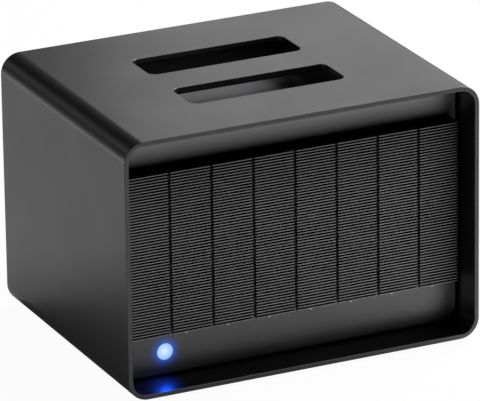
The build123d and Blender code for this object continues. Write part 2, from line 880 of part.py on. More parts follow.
def make_rear_panel():
    """The rear sheet with fan openings, vents, and cuts for the ports and controls."""
    height = shell_height - 2 * (shell_wall + rear_gap)
    outline = RectangleRounded(2 * (inner_half - rear_gap), height, inner_corner - rear_gap)
    middle_z = foot_height + shell_height / 2
    panel = slab_y(Pos(0, middle_z) * outline, fan_rear, panel_rear)
    y0 = fan_rear - past
    y1 = panel_rear + past
    cuts = []
    for fan_x in fan_places:
        cuts.append(rod_y(fan_x, drive_middle, fan_bore_radius, y0, y1))
        for across, up in fan_holes:
            cuts.append(rod_y(fan_x + across, drive_middle + up, fan_hole_radius, y0, y1))
    for port_x in port_places:
        half_width = port_width / 2 + cut_clearance
        low = main_board_top - cut_clearance
        high = main_board_top + port_height + cut_clearance
        cuts.append(block(port_x - half_width, port_x + half_width, y0, y1, low, high))
    jack_half = jack_width / 2 + cut_clearance
    jack_low = main_board_top - cut_clearance
    jack_high = main_board_top + jack_height + cut_clearance
    cuts.append(block(jack_offset - jack_half, jack_offset + jack_half, y0, y1, jack_low, jack_high))
    cuts.append(rod_y(dial_offset, control_axis, dial_radius + cut_clearance, y0, y1))
    cuts.append(rod_y(set_x, control_axis, set_radius + set_fit, y0, y1))
    vent_top = inner_top - vent_drop
    for number in range(vent_count):
        offset = (number - (vent_count - 1) / 2) * vent_pitch
        for fan_x in fan_places:
            x = fan_x + offset
            cuts.append(block(x - vent_width / 2, x + vent_width / 2, y0, y1,
                              vent_top - vent_length, vent_top))
    for x, z in panel_screw_places:
        cuts.append(rod_y(x, z, screw_radius + screw_fit, y0, y1))
    return panel - cuts


def make_rear_brackets():
    """The blocks on the shell's side walls that the rear panel is screwed to."""
    blocks = []
    hole = screw_radius + screw_fit
    for x, z in bracket_places:
        outer = math.copysign(inner_half, x)
        inner = math.copysign(inner_half - bracket_size, x)
        half = bracket_size / 2
        cube = block(*sorted((inner, outer)), fan_rear - bracket_size, fan_rear, z - half, z + half)
        blocks.append(cube - rod_y(x, z, hole, fan_rear - bracket_size - past, fan_rear + past))
    return together(blocks)


def make_fan_guards():
    """The two ring guards over the fan openings, with an eye at each fan screw."""
    guards = []
    back = panel_rear + guard_wire
    step = (fan_bore_radius - guard_inner_radius) / (guard_rings - 1)
    eye_distance = math.hypot(fan_hole_offset, fan_hole_offset)
    for fan_x in fan_places:
        rings = []
        for number in range(guard_rings):
            radius = guard_inner_radius + number * step
            ring = Circle(radius + guard_wire / 2) - Circle(radius - guard_wire / 2)
            rings.append(slab_y(Pos(fan_x, drive_middle) * ring, panel_rear, back))
        spokes = []
        for number in range(guard_spokes):
            turn = Rot(0, (number + 0.5) * 360 / guard_spokes, 0)
            length = eye_distance - guard_eye_radius + root_overlap - guard_inner_radius
            spoke_middle = guard_inner_radius + length / 2
            spoke = Pos(0, 0, spoke_middle) * Box(guard_wire, guard_wire, length)
            eye = rod_y(0, eye_distance, guard_eye_radius, -guard_wire / 2, guard_wire / 2)
            eye -= rod_y(0, eye_distance, fan_hole_radius, -guard_wire, guard_wire)
            place = Pos(fan_x, panel_rear + guard_wire / 2, drive_middle) * turn
            spokes.append(place * (spoke + eye))
        guards.append(together(rings + spokes))
    return together(guards)


def make_usb_ports():
    """The two reversible data ports on the main board's rear edge."""
    ports = []
    back = panel_rear + port_proud
    front = back - port_length
    middle_z = main_board_top + port_height / 2
    for port_x in port_places:
        centre = Pos(port_x, middle_z)
        outer = RectangleRounded(port_width, port_height, port_corner)
        inner = RectangleRounded(
            port_width - 2 * port_wall, port_height - 2 * port_wall, port_corner - port_wall,
        )
        sleeve = slab_y(centre * (outer - inner), front + port_end, back)
        closed_end = slab_y(centre * outer, front, front + port_end)
        tongue = block(
            port_x - port_tongue_width / 2, port_x + port_tongue_width / 2,
            front + port_end, back - port_tongue_inset,
            middle_z - port_tongue / 2, middle_z + port_tongue / 2,
        )
        ports.append(sleeve + closed_end + tongue)
    return together(ports)


def make_power_jack():
    """The round low-voltage power inlet with its centre pin."""
    back = panel_rear + jack_proud
    half = jack_width / 2
    body = block(
        jack_offset - half, jack_offset + half, back - jack_length, back,
        main_board_top, main_board_top + jack_height,
    )
    axis_z = main_board_top + jack_height / 2
    body -= rod_y(jack_offset, axis_z, jack_hole_radius, back - jack_hole_depth, back + past)
    pin_root = back - jack_hole_depth - root_overlap
    return body + rod_y(jack_offset, axis_z, jack_pin_radius, pin_root, back - jack_pin_inset)


def make_rear_switches():
    """The housings of the mode dial and of the set button, side by side on the main board."""
    dial_half = dial_housing / 2
    dial_front = dial_housing_back - dial_housing_length
    dial_body = block(
        dial_offset - dial_half, dial_offset + dial_half, dial_front, dial_housing_back,
        main_board_top, main_board_top + dial_housing,
    )
    dial_body -= rod_y(
        dial_offset, control_axis, dial_radius + dial_fit,
        dial_housing_back - dial_seat_depth, dial_housing_back + past,
    )
    set_half = set_housing / 2
    set_body = block(
        set_x - set_half, set_x + set_half,
        set_housing_back - set_housing_length, set_housing_back,
        main_board_top, control_axis + set_half,
    )
    return dial_body + set_body


def make_mode_dial():
    """The slotted dial that picks the storage mode."""
    back = panel_rear + dial_proud
    seat = dial_housing_back - dial_seat_depth
    dial = rod_y(dial_offset, control_axis, dial_radius, seat, back)
    dial = chamfer(dial.edges().filter_by(GeomType.CIRCLE).sort_by(Axis.Y)[-1:], dial_edge)
    return dial - block(
        dial_offset - dial_slot / 2, dial_offset + dial_slot / 2, back - dial_slot_depth, back + past,
        control_axis - dial_slot_length / 2, control_axis + dial_slot_length / 2,
    )


def make_set_button():
    """The small sprung button beside the mode dial."""
    back = panel_rear + set_proud
    flange_back = fan_rear - set_end_gap
    flange_front = flange_back - set_flange_thickness
    button = rod_y(set_x, control_axis, set_radius, flange_front, back)
    rear_edge = button.edges().filter_by(GeomType.CIRCLE).sort_by(Axis.Y)[-1:]
    button = fillet(rear_edge, set_edge_round)
    return button + rod_y(set_x, control_axis, set_radius + set_flange, flange_front, flange_back)


def make_feet():
    """The four rubber feet under the shell."""
    feet = []
    for x in (-foot_x, foot_x):
        for y in (-foot_y, foot_y):
            foot = rod_z(x, y, foot_radius, 0, foot_height)
            foot = chamfer(foot.edges().filter_by(GeomType.CIRCLE).sort_by(Axis.Z)[:1], foot_edge)
            foot -= rod_z(x, y, screw_head_radius + screw_fit, -past, foot_screw_seat)
            feet.append(foot - rod_z(x, y, screw_radius + screw_fit, 0, foot_height + past))
    return together(feet)


save("shell", make_shell())
save("handle_tub", make_handle_tub())
save("hand_bridge", make_hand_bridge())
save("front_bezel", make_front_bezel())

door = make_door()
tray = make_tray()
drive = make_drive()
for bay, bay_x in enumerate(bay_places, start=1):
    save(f"door_{bay}", Pos(bay_x, 0, 0) * door)
    save(f"tray_{bay}", Pos(bay_x, 0, 0) * tray)
    save(f"drive_{bay}", Pos(bay_x, 0, 0) * drive)

save("cage_floor", make_cage_floor())
save("cage_roof", make_cage_roof())
save("cage_side_left", make_cage_side(-1))
save("cage_side_right", make_cage_side(1))
save("chassis_base", make_chassis_base())
save("front_board", make_front_board())
save("bay_led_off", make_lamp(bay_places[0]))
save("bay_leds_on", together([make_lamp(x) for x in bay_places[1:]]))
save("power_button", make_power_button())
save("power_button_ring", make_power_button_ring())
save("main_board", make_main_board())
save("board_standoffs", make_standoffs())
save("main_chips", make_main_chips())
save("capacitors", make_capacitors())
save("heatsink", make_heatsink())
save("backplane", make_backplane())
save("sata_sockets", make_sata_sockets())
save("fan_frame_left", make_fan_frame(-fan_offset))
save("fan_frame_right", make_fan_frame(fan_offset))
save("fan_rotor_left", make_fan_rotor(-fan_offset))
save("fan_rotor_right", make_fan_rotor(fan_offset))
save("fan_guards", make_fan_guards())
save("rear_panel", make_rear_panel())
save("rear_brackets", make_rear_brackets())
save("usb_ports", make_usb_ports())
save("power_jack", make_power_jack())
save("rear_switches", make_rear_switches())
save("mode_dial", make_mode_dial())
save("set_button", make_set_button())
save("feet", make_feet())

# Screws: the small ones hold boards, rear panel and feet, the long ones hold fans and guards
down = Rot(0, 0, 0)
rearward = Rot(-90, 0, 0)
up = Rot(180, 0, 0)
board_screw_length = board_thickness + main_board_rise - screw_end_gap
small_screws = [
    screw(x, y, main_board_top, down, screw_radius, screw_head_radius, board_screw_length)
    for x, y in standoff_places
]
small_screws += [
    screw(x, panel_rear, z, rearward, screw_radius, screw_head_radius, screw_length)
    for x, z in panel_screw_places
]
small_screws += [
    screw(x, y, foot_screw_seat, up, screw_radius, screw_head_radius, screw_length)
    for x in (-foot_x, foot_x)
    for y in (-foot_y, foot_y)
]
save("small_screws", together(small_screws))
save("fan_screws", together([
    screw(fan_x + across, panel_rear + guard_wire, drive_middle + high, rearward,
          fan_screw_radius, fan_screw_head_radius, fan_screw_length)
    for fan_x in fan_places
    for across, high in fan_holes
]))
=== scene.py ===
import math

import bmesh
import bpy
from bpy.props import FloatProperty, FloatVectorProperty, IntProperty, PointerProperty
from mathutils import Matrix, Vector


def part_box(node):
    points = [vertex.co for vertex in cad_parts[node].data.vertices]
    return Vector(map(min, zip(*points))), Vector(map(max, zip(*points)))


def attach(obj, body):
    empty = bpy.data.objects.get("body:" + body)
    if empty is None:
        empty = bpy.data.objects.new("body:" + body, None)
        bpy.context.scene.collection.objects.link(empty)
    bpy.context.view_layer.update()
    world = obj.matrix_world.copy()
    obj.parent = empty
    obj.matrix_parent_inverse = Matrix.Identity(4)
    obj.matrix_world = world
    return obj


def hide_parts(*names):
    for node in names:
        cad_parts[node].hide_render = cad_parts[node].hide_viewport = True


bl_info = {
    "name": "Drive enclosure",
    "version": (1, 0, 0),
    "blender": (4, 5, 0),
    "location": "3D View > Sidebar > Enclosure",
    "description": "Dresses the CAD parts of a desktop drive enclosure",
    "category": "Object",
}

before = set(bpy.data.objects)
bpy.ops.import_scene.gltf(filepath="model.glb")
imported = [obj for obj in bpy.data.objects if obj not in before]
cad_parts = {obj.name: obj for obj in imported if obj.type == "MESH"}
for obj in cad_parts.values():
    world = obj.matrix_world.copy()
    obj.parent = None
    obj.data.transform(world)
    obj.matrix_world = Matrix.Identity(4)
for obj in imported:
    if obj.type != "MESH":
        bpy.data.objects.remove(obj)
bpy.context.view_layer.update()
BAYS = range(1, 9)
MM = 0.001
WHITE = (1.0, 1.0, 1.0, 1.0)
# Points closer than this are joined.
WELD = 1e-6
# Turns what is drawn in X and Y so that its Y points up.
UPRIGHT = (math.pi / 2, 0, 0)
# The Specular IOR Level at which a finish shows its full sheen.
SHEEN = 0.5
COMBINE = "ShaderNodeCombineXYZ"
# From one range to another: the value, both ends of the first, both ends of the second.
FADE = "ShaderNodeMapRange"
MOVE = "GeometryNodeTransform"
JOIN = "GeometryNodeJoinGeometry"
CIRCLE = "GeometryNodeCurvePrimitiveCircle"
SWEEP = "GeometryNodeCurveToMesh"
COPIES = "GeometryNodeInstanceOnPoints"
# Maths nodes, each with its operation.
PLUS, MINUS, TIMES, OVER, TIMES_PLUS, EXPONENTIAL, ABSOLUTE, BELOW, LARGER, COSINE, SINE = [
    ("ShaderNodeMath", operation) for operation in (
        "ADD", "SUBTRACT", "MULTIPLY", "DIVIDE", "MULTIPLY_ADD", "EXPONENT", "ABSOLUTE",
        "LESS_THAN", "MAXIMUM", "COSINE", "SINE")]


def linear(code):
    """An sRGB hex colour as linear red, green, blue and alpha."""
    parts = [int(code[place:place + 2], 16) / 255 for place in (1, 3, 5)]
    return (*[p / 12.92 if p <= 0.04045 else ((p + 0.055) / 1.055) ** 2.4 for p in parts], 1.0)


def middle(node):
    """The middle of a CAD node's box."""
    low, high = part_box(node)
    return (low + high) / 2


SHELL_LOW, SHELL_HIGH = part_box("shell")
DOOR_LOW, DOOR_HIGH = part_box("door_1")
BUTTON = middle("power_button")
BUTTON_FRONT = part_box("power_button")[0].y
CENTRE = (SHELL_LOW + SHELL_HIGH) / 2
FAN_LEFT = middle("fan_rotor_left")
FAN_RIGHT = middle("fan_rotor_right")


def maker(kind=FloatProperty, convert=lambda default: default, **options):
    """A function that makes settings of one kind from a name, a description and a default."""
    def make(name, description, default):
        return kind(name=name, description=description, default=convert(default), **options)
    return make


# Sizes are given in millimetres, places in metres, angles in degrees and colours in sRGB hex.
length = maker(convert=lambda size: size * MM, min=0.0, precision=5, unit="LENGTH",
               subtype="DISTANCE")
place = maker(FloatVectorProperty, unit="LENGTH", subtype="TRANSLATION")
degrees = maker(convert=math.radians, subtype="ANGLE")
colour = maker(FloatVectorProperty, linear, size=4, min=0.0, max=1.0, subtype="COLOR")
share = maker(min=0.0, max=1.0, subtype="FACTOR")
level = maker(min=0.0)
watts = maker(min=0.0, unit="POWER")
number = maker(IntProperty, min=2)


class SleeveSettings(bpy.types.PropertyGroup):
    wall: length("Wall", "Thickness of the aluminium sleeve", 3.2)
    corner: length("Corner", "Outer radius of the long edges", 13.7)
    rim_round: length("Rim rounding", "Radius on the front and rear rims", 0.5)
    slot_length: length("Slot length", "Length of a hand slot", 111.5)
    slot_width: length("Slot width", "Width of a hand slot", 34.0)
    slot_corner: length("Slot corner", "Corner radius of a hand slot", 6.0)
    bridge: length("Bridge", "Width of the bar between the hand slots", 30.8)
    edge_break: length("Edge break", "Rounding along the slots' cut edges", 0.35)
    colour: colour("Colour", "Dyed anodising of the sleeve", "#1e1e1f")
    roughness: share("Roughness", "How matt the blasted surface is", 0.36)
    # The inside's darker colour is painted shade.
    inner_colour: colour("Inner colour", "Dyed anodising inside the sleeve", "#0e0e0f")
    inner_roughness: share("Inner roughness", "How matt the unblasted inside is", 0.3)
    # The line is a painted highlight, a stronger sheen along the upper roundings.
    highlight_line_rise: length("Line", "Burnished line above the start of the upper roundings", 2.1)
    line_width: length("Line width", "How far the burnished line fades", 1.3)
    line_sheen: share("Line sheen", "How much stronger the sheen is on the line", 0.75)
    rim_depth: length("Rim depth", "How far the cut rims reach from the ends", 0.45)


class DoorSettings(bpy.types.PropertyGroup):
    fin_count: number("Fins", "Fins on one door", 57)
    fin_share: share("Fin share", "Share of the pitch that is fin", 0.39)
    fin_depth: length("Fin depth", "Depth of a fin from front to back", 3.0)
    fin_round: length("Fin rounding", "Radius along a fin's long edges", 0.05)
    wall: length("Side wall", "Thickness of a door's side walls", 1.2)
    below: length("Below", "Space under the lowest fin", 0.27)
    above: length("Above", "Space over the highest fin", 0.14)
    short: length("Short ends", "How far the fins stop short of a door's right edge", 0.2)
    bar_depth: length("Bar depth", "Depth of the upright bars behind the fins", 1.6)
    pin_radius: length("Pin hole", "Radius of the hole for the hinge pin", 1.25)
    pin_inset: length("Pin inset", "Hinge axis from the door's lower and rear faces", 4.0)
    shade_depth: length("Shade", "How far the shade under the panel's edge reaches", 35)
    sheen_high: share("Sheen at the top", "How strong the sheen is at the doors' top", 0.34)
    side_depth: length("Side shade", "How far the shade beside the sleeve's wall reaches", 30)
    sheen_side: share("Sheen at the side", "Share of the sheen left beside the wall", 0.45)
    colour: colour("Colour", "Moulded plastic of the doors", "#0b0b0c")
    roughness: share("Roughness", "How matt the fins are", 0.3)


class BezelSettings(bpy.types.PropertyGroup):
    colour: colour("Colour", "Moulded plastic of the recessed panel", "#101011")
    roughness: share("Roughness", "How matt the panel is", 0.32)
    # The halo is a painted glow on the panel round the button.
    halo_colour: colour("Halo", "Blue light in the plastic round the button", "#0066ff")
    halo_strength: level("Halo strength", "How bright the halo is at the ring", 0.36)
    halo_start: length("Halo start", "Radius where the halo is brightest", 6.6)
    shade_low: length("Shade above the doors", "How far the full shade reaches", 2.5)
    shade_high: length("Sheen above the doors", "Where the sheen is full again", 15.5)
    sheen_high: share("Sheen at the top", "How strong the sheen is above the shade", 0.75)
    side_start: length("Side fade", "Where the fade starts, inside the last door's edge", 3)
    side_end: length("Side fade's end", "Where it ends, outside the last door's edge", 1)
    below_top: length("Below the doors' top", "Depth from which the sheen is full again", 5)
    halo_half: length("Halo fall", "Distance over which the halo halves", 1.2)


class FanSettings(bpy.types.PropertyGroup):
    blade_count: number("Blades", "Blades on one fan", 7)
    hub_radius: length("Hub", "Radius of the fan's hub", 16.0)
    tip_radius: length("Blade tips", "Radius at the blades' tips", 36.8)
    blade_arc: degrees("Blade arc", "Angle that a blade spans at the hub", 44)
    blade_sweep: degrees("Blade sweep", "Turn of the tip against the root", 22)
    blade_depth: length("Blade depth", "How deep a blade is along the axle", 9.0)
    blade_thickness: length("Blade thickness", "Thickness of a blade", 1.1)
    wire: length("Guard wire", "Thickness of the guard's wire", 1.4)
    ring_count: number("Guard rings", "Rings of one guard", 4)
    first_ring: length("First ring", "Radius of the smallest ring", 8.0)
    last_ring: length("Last ring", "Radius of the largest ring", 38.0)
    screw_offset: length("Screw offset", "Screws from the fan's axis, across and up", 35.75)
    eye: length("Eyes", "Radius of the loops round the screws", 4.0)
    grille_gap: length("Grille gap", "Room between a rotor and its frame's rear face", 3.0)


class DriveSettings(bpy.types.PropertyGroup):
    recess: length("Recess", "Depth of the casting's side under the circuit board", 1.2)
    board_front: length("Board front", "Circuit board from the drive's front", 12.5)
    board_rear: length("Board rear", "Circuit board from the drive's rear", 3.5)
    board_side: length("Board sides", "Circuit board from the drive's long edges", 9.5)
    board: length("Board", "Thickness of the circuit board", 0.6)
    screw_radius: length("Screws", "Head radius of the cover's screws", 2.3)
    screw_inset: length("Screw inset", "Screws from the cover's edges", 7.0)
    label_colour: colour("Label", "Blank paper label on the cover", "#d9dadb")
    label_front: length("Label front", "Label from the drive's front", 22)
    label_rear: length("Label rear", "Label from the drive's rear", 42)
    label_side: length("Label sides", "Label from the drive's long edges", 16)
    label_sink: length("Label depth", "How deep the label sits in the cover", 0.05)
    label_rise: length("Label rise", "How far the label stands out of the cover", 0.12)


class LampSettings(bpy.types.PropertyGroup):
    bay_colour: colour("Bay lights", "Light of the small bay lights", "#e8eef2")
    bay_strength: level("Bay strength", "How bright the bay lights are", 0.25)
    button_colour: colour("Button middle", "Light at the middle of the button", "#d8ecff")
    button_edge: colour("Button edge", "Light at the edge of the button", "#90bff8")
    button_strength: level("Button strength", "How bright the button is", 1.0)
    ring_colour: colour("Ring", "Light that leaks into the ring round the button", "#24479f")
    ring_strength: level("Ring strength", "How bright the ring is", 1.0)
    glow_colour: colour("Glow", "Light that the button throws around it", "#044cff")
    glow_power: watts("Glow power", "Power of the button's light", 0.13)
    glow_target: place("Glow target", "Where the button's light falls on the sleeve's floor",
                       (-0.0965, -0.0845, 0.0062))
    glow_cone: degrees("Glow cone", "Full angle of the button's light", 85)
    glow_out: length("Glow distance", "The button's light from the button's face", 2)
    glow_radius: length("Glow radius", "Radius of the button's light", 3)
    bright_spot: place("Bright spot", "Where the button is brightest, from its axis",
                       (-0.6 * MM, 0.0, 0.5 * MM))
    bright_radius: length("Bright radius", "Radius of the button's brightest part", 0.5)
    edge_radius: length("Edge radius", "Radius where the edge colour is reached", 5.8)


class StageSettings(bpy.types.PropertyGroup):
    camera: place("Camera", "Where the camera stands", (-1.45170, -3.08878, 1.36318))
    target: place("Target", "What the camera looks at", (-0.04658, -0.1, 0.12905))
    roll: degrees("Roll", "Turn of the camera about its view", -0.8131)
    lens: FloatProperty(name="Lens", description="Focal length", default=410.45, unit="CAMERA")
    floor_colour: colour("Floor", "Plain pale floor", "#f4f4f4")
    floor_size: length("Floor size", "Half the side of the floor", 60000)
    key_place: place("Key softbox", "Where the main softbox stands, above at the right",
                     (0.9, 0.14, 0.9))
    key_size: length("Key size", "Side of the main softbox", 600)
    key_power: watts("Key power", "Power of the main softbox", 16.5)
    panel_place: place("Back panel", "Middle of the panel light behind at the right",
                       (0.94, 1.0, 0.625))
    panel_width: length("Panel width", "Width of the panel light", 1200)
    panel_height: length("Panel height", "Height of the panel light", 650)
    panel_power: watts("Panel power", "Power of the panel light", 2.75)
    floor_place: place("Floor light", "Spot lamp over the floor, far behind at the left",
                       (-0.53, 0.72, 0.5))
    floor_cone: degrees("Floor light cone", "Full angle of the floor light", 75)
    floor_radius: length("Floor light radius", "Radius of the floor light", 50)
    floor_power: watts("Floor light power", "Power of the floor light", 3.5)
    high_light: level("High light", "Strength of the wide light high at the front right", 0.86)
    high_spread: degrees("High light spread", "How wide the high light is", 35)
    left_glow: level("Left glow", "Soft wall of light at the left", 0.95)
    back_glow: level("Back glow", "Soft wall of light behind", 0.2)
    corner_glow: level("Corner glow", "Small soft light behind at the left", 0.7)
    white_seen: share("Floor lift", "How far the floor is lifted to white for the camera", 0.96)
    white_glossed: share("Gloss lift", "How far it is lifted to white in reflections", 0.02)


def add(tree, kind, inputs=(), **settings):
    """Add one node with its settings, input values and links.

    A kind may come with its operation. A node as a value stands for its first output, and a
    list of nodes for several links.
    """
    if isinstance(kind, tuple):
        kind, settings["operation"] = kind
    node = tree.nodes.new(kind)
    for name, value in settings.items():
        setattr(node, name, value)
    for key, value in inputs.items() if isinstance(inputs, dict) else enumerate(inputs):
        for item in value if isinstance(value, list) else [value]:
            if isinstance(item, bpy.types.Node):
                item = item.outputs[0]
            if isinstance(item, bpy.types.NodeSocket):
                tree.links.new(item, node.inputs[key])
            else:
                node.inputs[key].default_value = item
    return node


def new_material(name):
    """An empty material and its node tree."""
    material = bpy.data.materials.new(name)
    material.use_nodes = True
    tree = material.node_tree
    tree.nodes.clear()
    return material, tree


def surface(name, tone, roughness, grain, relief, patch=25, shade=0.1, spread=0.04, ior=1.5,
            metallic=0.0):
    """A finish with a fine grain in relief, and slow drifts of tone and gloss over a patch size.

    The tone is sRGB hex or a colour of the settings. Grain, relief and patch are in millimetres.
    """
    if isinstance(tone, str):
        tone = linear(tone)
    material, tree = new_material(name)
    coords = add(tree, "ShaderNodeTexCoord").outputs["Object"]
    fine, slow = [add(tree, "ShaderNodeTexNoise", {
        "Vector": coords, "Scale": 1 / (size * MM), "Detail": detail,
    }) for size, detail in ((grain, 3.0), (patch, 4.0))]
    darker = tuple(c * (1 - shade) for c in tone[:3]) + (1.0,)
    lighter = tuple(min(1.0, c * (1 + shade)) for c in tone[:3]) + (1.0,)
    # A mix of colours takes its factor first, its colours seventh and eighth, and gives the
    # result third.
    mixed = add(tree, "ShaderNodeMix", {0: slow, 6: darker, 7: lighter}, data_type="RGBA")
    # The noise stays between 0.3 and 0.7 nearly everywhere.
    gloss = add(tree, FADE, [slow, 0.3, 0.7, roughness - spread, roughness + spread])
    bump = add(tree, "ShaderNodeBump", {"Height": fine, "Strength": 1.0, "Distance": relief * MM})
    shader = add(tree, "ShaderNodeBsdfPrincipled", {
        "Base Color": mixed.outputs[2], "Roughness": gloss, "IOR": ior, "Metallic": metallic,
        "Normal": bump,
    })
    add(tree, "ShaderNodeOutputMaterial", [shader])
    return material


def opened(material):
    """A finish's node tree, its shader, and the X, Y and Z of a point of the surface."""
    tree = material.node_tree
    shader = next(node for node in tree.nodes if node.type == "BSDF_PRINCIPLED")
    coords = add(tree, "ShaderNodeTexCoord").outputs["Object"]
    return tree, shader, add(tree, "ShaderNodeSeparateXYZ", [coords]).outputs


def glowing(name, tone, strength, patch=2 * MM, dimmest=0.85, roughness=0.2):
    """A clear plastic lit from inside, with a slight drift of brightness."""
    material, tree = new_material(name)
    coords = add(tree, "ShaderNodeTexCoord").outputs["Object"]
    slow = add(tree, "ShaderNodeTexNoise", {"Vector": coords, "Scale": 1 / patch})
    dimmer = tuple(c * dimmest for c in tone[:3]) + (1.0,)
    mixed = add(tree, "ShaderNodeMix", {0: slow, 6: dimmer, 7: tuple(tone)}, data_type="RGBA")
    shader = add(tree, "ShaderNodeBsdfPrincipled", {
        "Base Color": mixed.outputs[2], "Roughness": roughness,
        "Emission Color": mixed.outputs[2], "Emission Strength": strength,
    })
    add(tree, "ShaderNodeOutputMaterial", [shader])
    return material


def dress(nodes, material):
    """Give CAD nodes a finish."""
    for name in nodes:
        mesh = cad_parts[name].data
        mesh.materials.clear()
        mesh.materials.append(material)


def new_tree(name, numbers, vectors=(), counts=()):
    """A Geometry Nodes tree with named inputs, a material among them, and one geometry output."""
    tree = bpy.data.node_groups.new(name, "GeometryNodeTree")
    for kind, labels in (("Float", numbers), ("Vector", vectors), ("Int", counts),
                         ("Material", ("Material",))):
        for label in labels:
            tree.interface.new_socket(label, in_out="INPUT", socket_type=f"NodeSocket{kind}")
    tree.interface.new_socket("Geometry", in_out="OUTPUT", socket_type="NodeSocketGeometry")
    return tree, add(tree, "NodeGroupInput").outputs


def close_tree(tree, geometry, given):
    """End a tree with real geometry that carries its material."""
    real = add(tree, "GeometryNodeRealizeInstances", [geometry])
    dressed = add(tree, "GeometryNodeSetMaterial", {
        "Geometry": real, "Material": given["Material"],
    })
    add(tree, "NodeGroupOutput", [dressed])
    return tree


def link(name, data):
    """Put a new object in the scene."""
    piece = bpy.data.objects.new(name, data)
    bpy.context.scene.collection.objects.link(piece)
    return piece


def baked(piece):
    """What an object's modifiers or outlines make, as a plain mesh."""
    depsgraph = bpy.context.evaluated_depsgraph_get()
    return bpy.data.meshes.new_from_object(piece.evaluated_get(depsgraph), depsgraph=depsgraph)


def grow(name, tree, settings, values):
    """Run a Geometry Nodes tree and keep what it makes as a plain mesh.

    An input takes the value given for it, or else the setting of its name.
    """
    piece = link(name, bpy.data.meshes.new(name))
    modifier = piece.modifiers.new(tree.name, "NODES")
    modifier.node_group = tree
    for socket in tree.interface.items_tree:
        if socket.in_out == "INPUT":
            setting = socket.name.lower().replace(" ", "_")
            modifier[socket.identifier] = (
                values[socket.name] if socket.name in values else getattr(settings, setting))
    piece.update_tag()
    made = baked(piece)
    piece.modifiers.remove(modifier)
    piece.data = made
    if not len(made.polygons):
        raise RuntimeError(f"{name} came out empty")
    return piece


def soften(mesh, angle=30):
    """Smooth shading, with sharp edges where faces meet at more than an angle."""
    mesh.shade_smooth()
    mesh.set_sharp_from_angle(angle=math.radians(angle))


def break_edges(piece, width, segments=2, angle=40):
    """Round the cut edges a little, as deburring or a mould does."""
    bevel = piece.modifiers.new("edge_break", "BEVEL")
    bevel.width = width
    bevel.segments = segments
    bevel.limit_method = "ANGLE"
    bevel.angle_limit = math.radians(angle)
    normals = piece.modifiers.new("flat_faces", "WEIGHTED_NORMAL")
    normals.keep_sharp = True


def prism(tree, outline, start, end):
    """A closed outline curve in X and Y, swept along a straight line between two points."""
    line = add(tree, "GeometryNodeCurvePrimitiveLine", {"Start": start, "End": end})
    return add(tree, SWEEP, {"Curve": line, "Profile Curve": outline, "Fill Caps": True})


def rounded_outline(tree, width, height, radius, count):
    """A rounded rectangle drawn in X and Y, with a number of points along each corner."""
    flat = add(tree, "GeometryNodeCurvePrimitiveQuadrilateral", {"Width": width, "Height": height})
    return add(tree, "GeometryNodeFilletCurve", {"Curve": flat, "Radius": radius, "Count": count},
               mode="POLY")


def sleeve_tree():
    """The sleeve: a rounded wall section swept round a rounded rectangle, with two slots cut."""
    tree, given = new_tree("sleeve", (
        "Width", "Height", "Depth", "Wall", "Corner", "Rim Round", "Slot Length", "Slot Width",
        "Slot Corner", "Bridge",
    ), ("Centre",))
    wall, centre = given["Wall"], given["Centre"]
    half_wall = add(tree, TIMES, [wall, 0.5])
    path = rounded_outline(
        tree, add(tree, MINUS, [given["Width"], wall]), add(tree, MINUS, [given["Height"], wall]),
        add(tree, MINUS, [given["Corner"], half_wall]), count=14)
    section = rounded_outline(tree, wall, given["Depth"], given["Rim Round"], count=3)
    ring = add(tree, SWEEP, {"Curve": path, "Profile Curve": section})
    sleeve = add(tree, MOVE, {"Geometry": ring, "Translation": centre, "Rotation": UPRIGHT})
    # The cutting tool reaches from 8 mm below the top to 2 mm above it.
    outline = rounded_outline(
        tree, given["Slot Length"], given["Slot Width"], given["Slot Corner"], count=8)
    top = add(tree, TIMES, [given["Height"], 0.5])
    ends = [add(tree, COMBINE, {"Z": add(tree, PLUS, [top, rise])})
            for rise in (-8 * MM, 2 * MM)]
    tool = prism(tree, outline, *ends)
    apart = add(tree, PLUS, [given["Bridge"], given["Slot Width"]])
    tools = []
    for half in (0.5, -0.5):
        side = add(tree, COMBINE, {"Y": add(tree, TIMES, [apart, half])})
        at = add(tree, "ShaderNodeVectorMath", [centre, side], operation="ADD")
        tools.append(add(tree, MOVE, {"Geometry": tool, "Translation": at}))
    cut = add(tree, "GeometryNodeMeshBoolean", {
        "Mesh 1": sleeve, "Mesh 2": add(tree, JOIN, {"Geometry": tools}),
    }, operation="DIFFERENCE", solver="EXACT")
    return close_tree(tree, cut, given)


